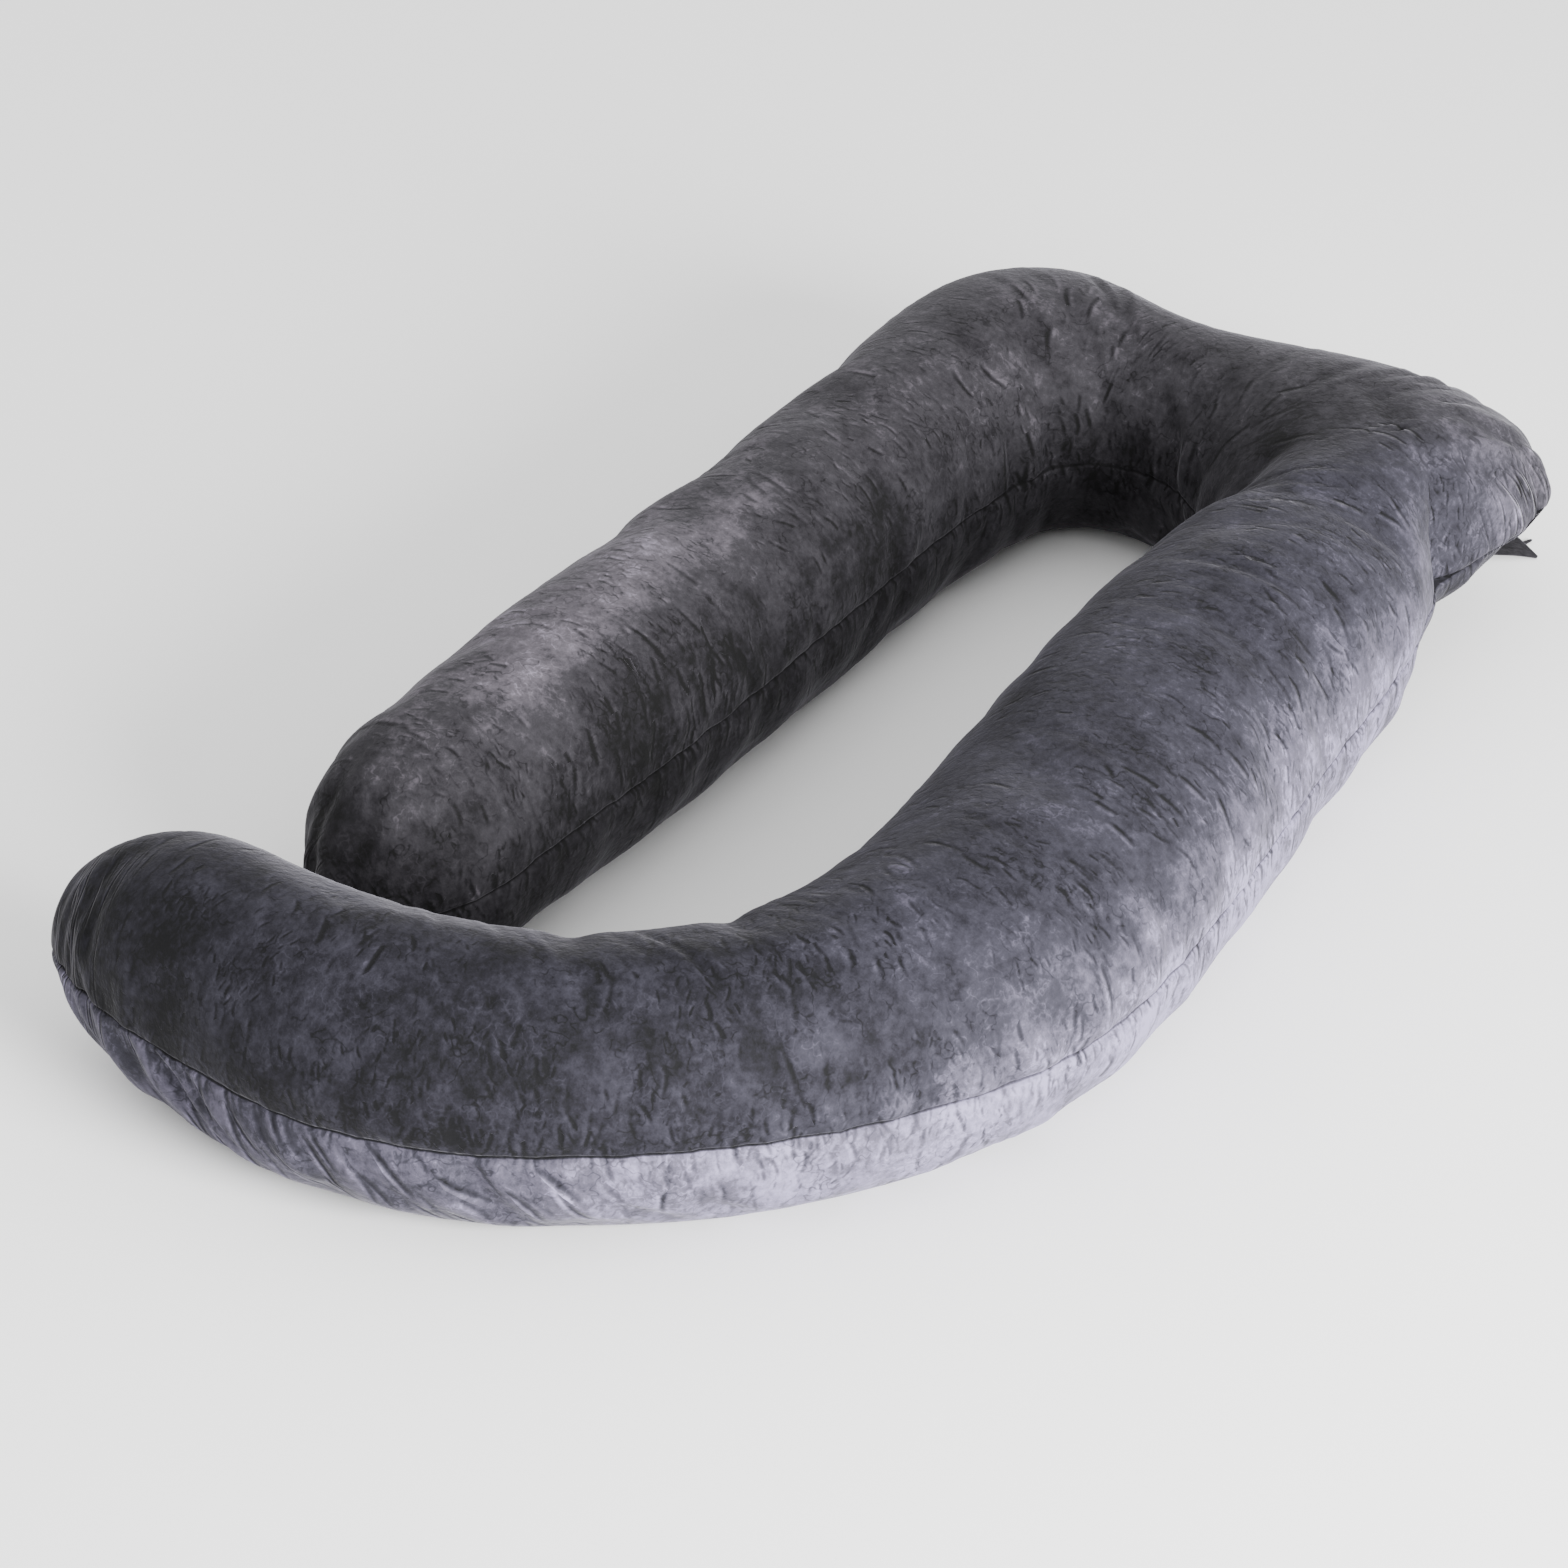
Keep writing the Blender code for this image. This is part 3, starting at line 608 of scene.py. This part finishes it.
def sewn_case(sizes):
    """The pillow's fine grid with every relief on it, its angles and arc lengths for the pattern, and its
    directions along and round the tube. The pace is how far the cloth goes for each metre along."""
    points, along, angles, width = pillow_pattern(FINE_GRID)
    around = len(angles)
    normals = grid_normals(points)
    ways = np.gradient(points, along, axis=0), np.roll(points, -1, axis=1) - np.roll(points, 1, axis=1)
    pace = np.linalg.norm(ways[0], axis=-1)
    ways = [unit(way) for way in ways]
    steps = np.linalg.norm(np.roll(points, -1, axis=1) - points, axis=-1)
    arc = np.concatenate([np.zeros((len(along), 1)), np.cumsum(steps, axis=1)[:, :-1]], axis=1)
    length = steps.sum(axis=1)[:, None]
    outer_gap = np.minimum(arc, length - arc)
    inner_gap = np.abs(arc - arc[:, [around // 2]])
    upper = np.broadcast_to((np.arange(around) < around // 2)[None, :], arc.shape)
    seam = np.minimum(outer_gap, inner_gap)

    offset = np.zeros(arc.shape)
    coarse, coarse_along = swelled_cloth(sizes.swell_limit)
    rows = np.interp(along, coarse_along, np.arange(len(coarse_along)))
    columns = np.arange(around) * (CLOTH_GRID[2] / around)
    offset = cubic_resample(coarse, rows, False)
    offset = cubic_resample(offset.T, columns, True).T
    details = pleat_relief(along, pace, (outer_gap, inner_gap), upper, sizes.pleat_scale)
    details += band_relief(along, pace, angles)
    creased = sizes.crinkle_depth * (1 - np.exp(-seam / CRINKLE_START)) * np.clip(pace, 0, 1)
    details += creased * crinkle_relief(along, arc, upper)
    details -= np.where(upper, 1.0, LOWER_FOLD_SHARE) * fold_depth(points[..., :2])
    groove = sizes.seam_depth * sum(share * np.exp(-((seam / half) ** 2)) for share, half in SEAM_GROOVE)
    fade = np.minimum(1.0, TIP_RELIEF * width)[:, None]
    # The underside lies flat, so relief dies away where the cloth meets the floor.
    above = np.clip((points[..., 2] - FLOOR_CLEAR) / FLOOR_FADE, 0.0, 1.0)
    total = (offset + details - groove) * fade * np.where(upper, 1.0, above)
    points = points + normals * total[..., None]
    row = np.full(along.shape, 0.5)
    waver = sum(height * smooth_noise(along / size, row, seed) for height, size, seed in SEAM_WAVER)
    points[..., 2] += waver[:, None] * np.exp(-((seam / SEAM_WAVER_REACH) ** 2)) * fade
    points[..., 2] = np.maximum(points[..., 2], 0.0)
    return points, along, angles, arc, length, seam, details * fade, ways


def add_pattern_map(mesh, along, arc, loop_length):
    """A UV map in metres: distance along the tube, and round the section from the outer seam. The lower
    panel's is moved on, so that the two panels don't share a pattern at the seams."""
    around = arc.shape[1]
    v = np.concatenate([arc, loop_length], axis=1)[1:-1]
    v = np.stack([v[:, :-1], v[:, 1:]]) + np.where(np.arange(around) < around // 2, 0.0, LOWER_PANEL_SHIFT)
    left, right, tip_v = v[0], v[1], v.mean(0)
    u = np.broadcast_to(along[1:-1, None], left.shape)
    quads = np.stack([u[:-1], left[:-1], u[:-1], right[:-1], u[1:], right[1:], u[1:], left[1:]], -1)
    first, last = np.full(around, along[0]), np.full(around, along[-1])
    start = np.stack([first, tip_v[0], u[0], right[0], u[0], left[0]], -1)
    end = np.stack([last, tip_v[-1], u[-1], left[-1], u[-1], right[-1]], -1)
    layer = mesh.uv_layers.new(name="pattern")
    flat = np.concatenate([quads.ravel(), start.ravel(), end.ravel()])
    layer.data.foreach_set("uv", flat.astype(np.float32))


def add_point_values(mesh, name, values):
    """A number or a vector for each vertex."""
    kind, field = ("FLOAT_VECTOR", "vector") if values.ndim > 1 else ("FLOAT", "value")
    layer = mesh.attributes.new(name, kind, "POINT")
    layer.data.foreach_set(field, values.astype(np.float32).ravel())


def add_node(tree, kind, inputs=(), output=0, **settings):
    """Adds a shader node with its settings. Each input, by its name or its place in the node's own list, is
    a value or another node's output. Gives one of its outputs."""
    made = tree.nodes.new("ShaderNode" + kind)
    for key, value in settings.items():
        setattr(made, key, value)
    for key, value in inputs.items() if isinstance(inputs, dict) else enumerate(inputs):
        if isinstance(value, bpy.types.NodeSocket):
            tree.links.new(value, made.inputs[key])
        else:
            made.inputs[key].default_value = value
    return made.outputs[output]


SOFT_STEP = {"interpolation_type": "SMOOTHSTEP"}


def cloudy_pattern(add, place, size, seed, detail=2.0, roughness=0.6):
    """Noise in space whose features have about a size in metres, moved on by its seed."""
    moved = add("VectorMath", (place, (seed, 2 * seed, -seed)), operation="ADD")
    inputs = {"Vector": moved, "Scale": 1.0 / size, "Detail": detail, "Roughness": roughness}
    return add("TexNoise", inputs, "Fac")


def stroke_marks(add, surface, turn, cell, stroke, spread, present, seed):
    """Pressed strokes, one in each cell of a Voronoi pattern: a dent along the stroke's middle line and a
    raised edge beside it. Each has its own angle, bow and strength; sizes are in metres. Cells of one size
    fill space, so they aren't stretched round a bend; cells laid in rows follow the UV map."""
    laid_in_rows = isinstance(cell, tuple)
    where = surface["pattern" if laid_in_rows else "place"]
    moves = ((seed, 2.0 * seed, 0.0), (0.0, 0.0, turn if laid_in_rows else 0.0))
    laid = add("Mapping", (where, *moves), vector_type="TEXTURE")
    size = (*cell, 1.0) if laid_in_rows else (cell,) * 3
    spaced = add("VectorMath", (laid, size), operation="DIVIDE")
    middle = add(
        "TexVoronoi", {"Vector": spaced, "Scale": 1.0, "Randomness": 1.0}, "Position",
        voronoi_dimensions="2D" if laid_in_rows else "3D",
    )
    away = add("VectorMath", (spaced, middle), operation="SUBTRACT")
    size = (*cell, 0.0) if laid_in_rows else (cell,) * 3
    away = add("VectorMath", (away, size), operation="MULTIPLY")
    if not laid_in_rows:
        flat = [
            add("VectorMath", (away, surface[way]), "Value", operation="DOT_PRODUCT")
            for way in ("way_along", "way_round")
        ]
        away = add("CombineXYZ", flat)
    chance = add("SeparateColor", (middle.node.outputs["Color"],)).node.outputs
    least = -spread if laid_in_rows else -spread - turn
    angle = add("Math", (chance["Red"], 2.0 * spread, least), operation="MULTIPLY_ADD")
    turned = add("VectorRotate", {"Vector": away, "Angle": angle}, rotation_type="Z_AXIS")
    across, along = list(add("SeparateXYZ", (turned,)).node.outputs)[:2]
    width, length = stroke
    most_bow = STROKE_BOW / length
    bow = add("Math", (chance["Green"], 2.0 * most_bow, -most_bow), operation="MULTIPLY_ADD")
    squared = add("Math", (along, along), operation="MULTIPLY")
    across = add("Math", (bow, squared, across), operation="MULTIPLY_ADD")
    reach = add("Math", (along,), operation="ABSOLUTE")
    fading = STROKE_WHOLE * length, 0.5 * length
    ends = add("MapRange", (reach, *fading, 1.0, 0.0), **SOFT_STEP)
    strength = add("MapRange", (chance["Blue"], 1.0 - present, 1.0, STROKE_WEAKEST, 1.0), **SOFT_STEP)
    shown = add("Math", (chance["Blue"], 1.0 - present), operation="GREATER_THAN")
    for factor in (shown, ends):
        strength = add("Math", (strength, factor), operation="MULTIPLY")
    lines = []
    for centre, half in ((0.0, width), (EDGE_PLACE * width, EDGE_WIDTH * width)):
        gap = add("Math", (across, centre), operation="SUBTRACT")
        gap = add("Math", (gap,), operation="ABSOLUTE")
        line = add("MapRange", (gap, 0.0, half, 1.0, 0.0), **SOFT_STEP)
        lines.append(add("Math", (line, strength), operation="MULTIPLY"))
    return lines


# Marks pressed into the cloth, in metres: where they are, as the size of their clusters or the name of a
# mesh attribute; their turn from the cross direction; the cell that each has, as one size or as width and
# length of cells laid in rows; its width and length; how far its angle varies; the share of cells that have
# one; how much its dent darkens and its edge pales the pile's tone, partly the pile's own tone and partly
# painted shade in the dent and painted light on the edge; and the heights of its dent and its edge.
MARKS = (
    (0.06, 0.1, 0.0125, (0.0019, 0.015), 0.58, 0.85, -0.28, 0.12, 0.0, 0.0),
    (0.08, -0.1, 0.021, (0.0029, 0.029), 0.4, 0.85, -0.34, 0.13, -0.00028, 0.00012),
    (0.115, 0.1, 0.036, (0.004, 0.052), 0.32, 0.85, -0.4, 0.16, -0.00048, 0.00022),
    ("gathered", 0.0, (0.0064, 0.1), (0.0019, 0.1), 0.1, 0.95, -0.5, 0.3, -0.001, 0.0006),
    ("slanted", -0.62, (0.013, 0.09), (0.0042, 0.09), 0.22, 0.95, -0.44, 0.26, -0.0012, 0.0007),
)
MARK_SEED_STEP = 1.37
CLUSTER_SEEDS = (11.0, 2.3)  # the first seed, and the step to the next
CLUSTER_STEP, BROKEN_STEP = (0.50, 0.60), (0.48, 0.60)  # noise values where creases start and are whole
NEAR_SEAM = (0.012, 0.050, 0.8, 0.0)  # creases fill this share near a seam, and fade between two distances
SLANTED_COVER = 0.8  # the share of them that slanted pleats hide
STROKE_WHOLE = 0.15  # a stroke starts to fade at this share of its length from its middle
STROKE_WEAKEST, STROKE_BOW = 0.25, 0.6
EDGE_PLACE, EDGE_WIDTH = 1.2, 1.1  # of the raised edge, in widths of the dent
# Cloudy patterns in the pile: share of the tone, size in metres, seed, and detail and roughness where they
# aren't the usual ones. The first two are the crushed look, the third the broad patches, and the last the
# pile itself, drawn coarser than it is, so that it shows.
CLOUDY = (
    (0.6, 0.0075, 5.7, 2.5, 0.66),
    (0.58, 0.026, 3.1),
    (0.7, 0.085, 1.3),
    (0.16, 0.0014, 0.0, 1.0),
)
MOTTLE_HEIGHT = 0.001  # how high the finest of the crushed look stands
# How much the relief's painted shade darkens troughs and its painted light pales ridges.
RELIEF_PAINTED_SHADE_SHARE = 0.05
# Thin winding creases: size, seed and share of the tone, dark and pale. They show in broken patches.
VEINS = ((0.016, 2.2, -0.2), (0.013, 6.6, 0.13))
VEIN_WIDTH = 0.040  # in the noise's own values
BROKEN_SIZE, BROKEN_SEED_STEP = 0.040, 4.4
TONE_SPAN, TONE_FLOOR = 0.85, 0.15
NEUTRAL_TINT = (1.02, 0.995, 0.84, 1.0)
SEAM_LINE = (0.0005, 0.0018, 0.32, 1.0)  # a dark line, about 2 mm wide, and how dark it is


def crushed_velvet(name, colours, tone_shift):
    """Polyester crushed velvet. Its short dense pile is pressed over in strokes that lie in clusters, so
    that bent pile shows pale, creases show dark with a pale edge, and the flat patches between them are
    smooth; the creases' dark and their pale edges are partly the pile's own tone and partly painted shade
    and painted light. Troughs of the relief get painted shade and its ridges painted light, and whole areas
    carry painted light and shade in their tone. It has a soft bright rim at grazing angles."""
    made = bpy.data.materials.new(name)
    made.use_nodes = True
    tree = made.node_tree
    add = partial(add_node, tree)
    shader = tree.nodes["Principled BSDF"]
    place = add("TexCoord", output="Object")
    surface = {"place": place, "pattern": add("UVMap", uv_map="pattern")}
    for way in ("way_along", "way_round"):
        surface[way] = add("Attribute", output="Vector", attribute_name=way)
    # The tone starts from painted light and shade laid over whole areas: lifted where light falls, lowered
    # where shade falls.
    tone, relief, seam, slanted, lilac = (
        add("Attribute", output="Fac", attribute_name=kept)
        for kept in ("tone_with_painted_light", "relief", "seam_distance", "slanted", "lilac")
    )
    # Each noise counts by how far it is from 0.5, its middle, and that is taken off the level.
    shares = [(cloudy_pattern(add, place, *kind), share) for share, *kind in CLOUDY]
    level = -0.5 * sum(share for _, share in shares)
    mottle = shares[0][0]
    height = add("Math", (mottle, MOTTLE_HEIGHT, -0.5 * MOTTLE_HEIGHT), operation="MULTIPLY_ADD")
    # Painted shade and light from the relief: troughs darker, ridges paler.
    shares.append((relief, RELIEF_PAINTED_SHADE_SHARE))
    for size, seed, share in VEINS:
        winding = cloudy_pattern(add, place, size, seed, 1.5, 0.7)
        winding = add("Math", (winding, 0.5), operation="SUBTRACT")
        winding = add("Math", (winding,), operation="ABSOLUTE")
        line = add("MapRange", (winding, 0.0, VEIN_WIDTH, 1.0, 0.0), **SOFT_STEP)
        broken = cloudy_pattern(add, place, BROKEN_SIZE, seed + BROKEN_SEED_STEP, 2.5, 0.75)
        broken = add("MapRange", (broken, *BROKEN_STEP, 0.0, 1.0), **SOFT_STEP)
        shares.append((add("Math", (line, broken), operation="MULTIPLY"), share))

    plain = add("Math", (slanted, -SLANTED_COVER, 1.0), operation="MULTIPLY_ADD")
    beside_seam = add("MapRange", (seam, *NEAR_SEAM), **SOFT_STEP)
    for number, (where, turn, cell, stroke, spread, present, *effects) in enumerate(MARKS):
        seed = MARK_SEED_STEP * (number + 1)
        lines = stroke_marks(add, surface, turn, cell, stroke, spread, present, seed)
        if isinstance(where, str):
            share = add("Attribute", output="Fac", attribute_name=where)
        else:
            clusters = cloudy_pattern(add, place, where, CLUSTER_SEEDS[0] + CLUSTER_SEEDS[1] * number, 1.0)
            clusters = add("MapRange", (clusters, *CLUSTER_STEP, 0.0, 1.0), **SOFT_STEP)
            share = add("Math", (clusters, beside_seam), operation="MAXIMUM")
            share = add("Math", (share, plain), operation="MULTIPLY")
        # A mark's dent darkens the pile and its edge pales it: partly the pile's own tone, partly painted
        # shade in the dent and painted light on its edge.
        for line, tone_change, rise in zip(lines, effects[:2], effects[2:]):
            line = add("Math", (line, share), operation="MULTIPLY")
            tone = add("Math", (line, tone_change, tone), operation="MULTIPLY_ADD")
            if rise:
                height = add("Math", (line, rise, height), operation="MULTIPLY_ADD")
    for value, share in shares:
        tone = add("Math", (value, share, tone), operation="MULTIPLY_ADD")
    level = TONE_SPAN * level + TONE_FLOOR + tone_shift
    tone = add("Math", (tone, TONE_SPAN, level), operation="MULTIPLY_ADD")
    ramp = add("ValToRGB", {"Fac": tone})
    stops = (
        (0.0, colours.pile_deep_and_crease_shade), (0.15, colours.pile_dark), (0.43, colours.pile_middle),
        (0.71, colours.pile_light), (1.0, colours.pile_pale),
    )
    elements = ramp.node.color_ramp.elements
    while len(elements) < len(stops):
        elements.new(0.5)
    for element, (position, colour) in zip(elements, stops):
        element.position, element.color = position, tuple(colour) + (1.0,)
    # The back arm and the head bar show a neutral grey, the front arm and the foot's band a lilac one.
    tinting = {"data_type": "RGBA", "blend_type": "MULTIPLY"}
    neutral = add("Math", (1.0, lilac), operation="SUBTRACT")
    pile = add("Mix", {0: neutral, 6: ramp, 7: NEUTRAL_TINT}, 2, **tinting)
    line = add("MapRange", (seam, *SEAM_LINE), **SOFT_STEP)
    pile = add("Mix", {0: 1.0, 6: pile, 7: line}, 2, **tinting)
    tree.links.new(pile, shader.inputs["Base Color"])
    pressed = add("Bump", {"Height": height, "Strength": 1.0, "Distance": 1.0})
    tree.links.new(pressed, shader.inputs["Normal"])
    shader.inputs["Roughness"].default_value = 0.85
    shader.inputs["Specular IOR Level"].default_value = 0.15
    shader.inputs["Sheen Weight"].default_value = 0.16
    shader.inputs["Sheen Roughness"].default_value = 0.30
    shader.inputs["Sheen Tint"].default_value = linear_from_hex("#DEDBE6") + (1.0,)
    return made


def painted_floor(colour):
    """Matt white paint on a studio floor: no gloss, so the shadow stays soft."""
    made = bpy.data.materials.new("matt studio paint")
    made.use_nodes = True
    shader = made.node_tree.nodes["Principled BSDF"]
    shader.inputs["Base Color"].default_value = tuple(colour) + (1.0,)
    shader.inputs["Roughness"].default_value = 0.95
    shader.inputs["Specular IOR Level"].default_value = 0.1
    return made


class BODYPILLOW_OT_pillow(bpy.types.Operator):
    """Sews, fills and gathers the pillow"""

    bl_idname = "body_pillow.pillow"
    bl_label = "Pillow"

    def execute(self, context):
        sizes, colours = context.scene.pillow_sizes, context.scene.pillow_colours
        points, along, angles, arc, length, seam, details, ways = sewn_case(sizes)
        mesh = tube_mesh("velvet_pillow", points)
        add_pattern_map(mesh, along, arc, length)
        upper = np.arange(len(angles))[None, :] < len(angles) // 2
        on_panel = {0: 1.0, 1: upper, -1: ~upper}
        # Painted light and shade: each area's tone is lifted where light falls on it and lowered where it
        # lies in shade.
        tone_with_painted_light = BASE_TONE + sum(
            lift * on_panel[panel] * soft_area(along, angles, area, PAINTED_LIGHT_EDGE)
            for *area, panel, lift in PAINTED_LIGHT_AREAS
        )
        grids = {
            "seam_distance": seam,
            # the relief, painted in the material as shade in troughs and light on ridges
            "relief": np.clip(details / RELIEF_RANGE, -RELIEF_CLIP, RELIEF_CLIP),
            "tone_with_painted_light": tone_with_painted_light,
            "lilac": soft_area(along, angles, LILAC, LILAC_EDGE),
            "gathered": sum(soft_area(along, angles, area, GATHERED_EDGE) for area in GATHERED),
            "slanted": sum(soft_area(along, angles, area, GATHERED_EDGE) for area in SLANTED),
            "way_along": ways[0],
            "way_round": ways[1],
        }
        for name, grid in grids.items():
            add_point_values(mesh, name, tube_values(grid))
        piece = link("velvet_pillow", mesh)
        mesh.materials.append(crushed_velvet("crushed velvet", colours, 0.0))
        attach(piece, "root")
        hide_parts("pillow")
        return {"FINISHED"}


def tie_strip(table):
    """A strip along its middle line. Its width follows the table, and a soft sine wave crosses it where it
    hangs between the seam and the floor."""
    count, across_count = TIE_GRID
    path = np.array(table)
    path[:, :2] -= OUTLINE_MIDDLE
    knots = running_total(np.linalg.norm(np.diff(path[:, :3], axis=0), axis=1))
    along = np.linspace(0.0, knots[-1], count)
    line = natural_spline(knots, path, along)
    across = unit(line[:, 3:6])
    facing = unit(np.cross(across, np.gradient(line[:, :3], axis=0)))
    shares = np.linspace(-0.5, 0.5, across_count)
    points = line[:, None, :3] + across[:, None, :] * (line[:, 6:7] * shares[None, :])[..., None]
    height = line[:, 2]
    hanging = np.clip((height - 0.012) / 0.03, 0, 1) * np.clip((TIE_SEWN_HEIGHT - height) / 0.02, 0, 1)
    wave = TIE_WAVE_HEIGHT * hanging[:, None] * np.sin(2 * np.pi * (shares[None, :] * TIE_WAVES + 0.1))
    points = points + facing[:, None, :] * wave[..., None]
    area = float(np.sum((line[1:, 6] + line[:-1, 6]) / 2 * np.diff(along)))
    widest = float(line[:, 6].max())
    return points, along, shares * widest, widest, float(knots[-1]), area


class BODYPILLOW_OT_ties(bpy.types.Operator):
    """Cuts and hangs the two tie tails"""

    bl_idname = "body_pillow.ties"
    bl_label = "Tie tails"

    def execute(self, context):
        sizes, colours = context.scene.pillow_sizes, context.scene.pillow_colours
        cloth = crushed_velvet("velvet tie cloth", colours, TIE_TONE)
        for node, table in TIES.items():
            points, along, width, widest, length, area = tie_strip(table)
            points[..., 2] = np.maximum(points[..., 2], 0.5 * sizes.tie_thickness + TIE_FLOOR_GAP)
            rows, columns = points.shape[:2]
            corner = (np.arange(rows - 1)[:, None] * columns + np.arange(columns - 1)[None, :])[..., None]
            faces = (corner + np.array([0, 1, columns + 1, columns])).reshape(-1, 4)
            mesh = bpy.data.meshes.new(node + "_cloth")
            mesh.from_pydata(points.reshape(-1, 3), [], faces)
            mesh.shade_smooth()
            layer = mesh.uv_layers.new(name="pattern")
            spots = np.stack(np.broadcast_arrays(width[None, :], along[:, None]), -1).reshape(-1, 2)
            layer.data.foreach_set("uv", spots[faces.ravel()].astype(np.float32).ravel())
            for name, value in (("seam_distance", 1.0), ("tone_with_painted_light", BASE_TONE), ("lilac", 0.0)):
                add_point_values(mesh, name, np.full(rows * columns, value))
            for name, axis in (("way_round", 0), ("way_along", 1)):
                add_point_values(mesh, name, unit(np.gradient(points, axis=axis)).reshape(-1, 3))
            mesh.materials.append(cloth)
            piece = link(node + "_cloth", mesh)
            wall = piece.modifiers.new("cloth thickness", "SOLIDIFY")
            wall.thickness, wall.offset = sizes.tie_thickness, 0.0
            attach(piece, "root")
            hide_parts(node)
        return {"FINISHED"}


def aimed(name, data, place, aim):
    """A light or camera at a place, looking at another."""
    made = link(name, data)
    made.location = place
    made.rotation_mode = "QUATERNION"
    made.rotation_quaternion = (Vector(aim) - Vector(place)).to_track_quat("-Z", "Y")
    return made


class BODYPILLOW_OT_stage(bpy.types.Operator):
    """Lays the floor, sets the lights and places the camera"""

    bl_idname = "body_pillow.stage"
    bl_label = "Studio"

    def execute(self, context):
        mesh = bpy.data.meshes.new("studio_floor")
        half = FLOOR_HALF_SIDE
        corners = [(-half, -half), (half, -half), (half, half), (-half, half)]
        mesh.from_pydata([(x, y, -FLOOR_DROP) for x, y in corners], [], [(0, 1, 2, 3)])
        mesh.materials.append(painted_floor(context.scene.pillow_colours.floor))
        link("studio_floor", mesh)
        world = bpy.data.worlds.new("soft studio")
        world.use_nodes = True
        sky = world.node_tree.nodes["Background"].inputs
        sky["Color"].default_value = (1.0, 1.0, 1.0, 1.0)
        sky["Strength"].default_value = SKY_STRENGTH
        context.scene.world = world
        softbox = bpy.data.lights.new("low side softbox", "AREA")
        softbox.shape, softbox.size, softbox.energy = "DISK", SOFTBOX_SIZE, SOFTBOX_POWER
        aimed("low side softbox", softbox, SOFTBOX_PLACE, SOFTBOX_AIM)

        azimuth, elevation = math.radians(CAMERA_AZIMUTH), math.radians(CAMERA_ELEVATION)
        level = math.cos(elevation)
        back = Vector((math.sin(azimuth) * level, -math.cos(azimuth) * level, math.sin(elevation)))
        camera = bpy.data.cameras.new("camera")
        camera.lens, camera.sensor_width = CAMERA_LENS, CAMERA_SENSOR
        target = Vector(CAMERA_TARGET) - Vector((*OUTLINE_MIDDLE, 0.0))
        context.scene.camera = aimed("camera", camera, target + back * CAMERA_DISTANCE, target)
        return {"FINISHED"}


class BODYPILLOW_PT_panel(bpy.types.Panel):
    """Lists the pillow's pieces and settings"""

    bl_idname = "BODYPILLOW_PT_panel"
    bl_label = "Body Pillow"
    bl_space_type = "VIEW_3D"
    bl_region_type = "UI"
    bl_category = "Body Pillow"

    def draw(self, context):
        layout = self.layout
        for group in (context.scene.pillow_sizes, context.scene.pillow_colours):
            box = layout.box()
            for name in group.__annotations__:
                box.prop(group, name)
        for operator in OPERATORS:
            layout.operator(operator.bl_idname)


OPERATORS = (BODYPILLOW_OT_pillow, BODYPILLOW_OT_ties, BODYPILLOW_OT_stage)
CLASSES = (PillowSizes, PillowColours, *OPERATORS, BODYPILLOW_PT_panel)


def register():
    for kind in CLASSES:
        bpy.utils.register_class(kind)
    bpy.types.Scene.pillow_sizes = PointerProperty(type=PillowSizes)
    bpy.types.Scene.pillow_colours = PointerProperty(type=PillowColours)


def unregister():
    del bpy.types.Scene.pillow_sizes
    del bpy.types.Scene.pillow_colours
    for kind in reversed(CLASSES):
        bpy.utils.unregister_class(kind)


def main():
    register()
    bpy.ops.body_pillow.pillow()
    bpy.ops.body_pillow.ties()
    bpy.ops.body_pillow.stage()


if __name__ == "__main__":
    main()
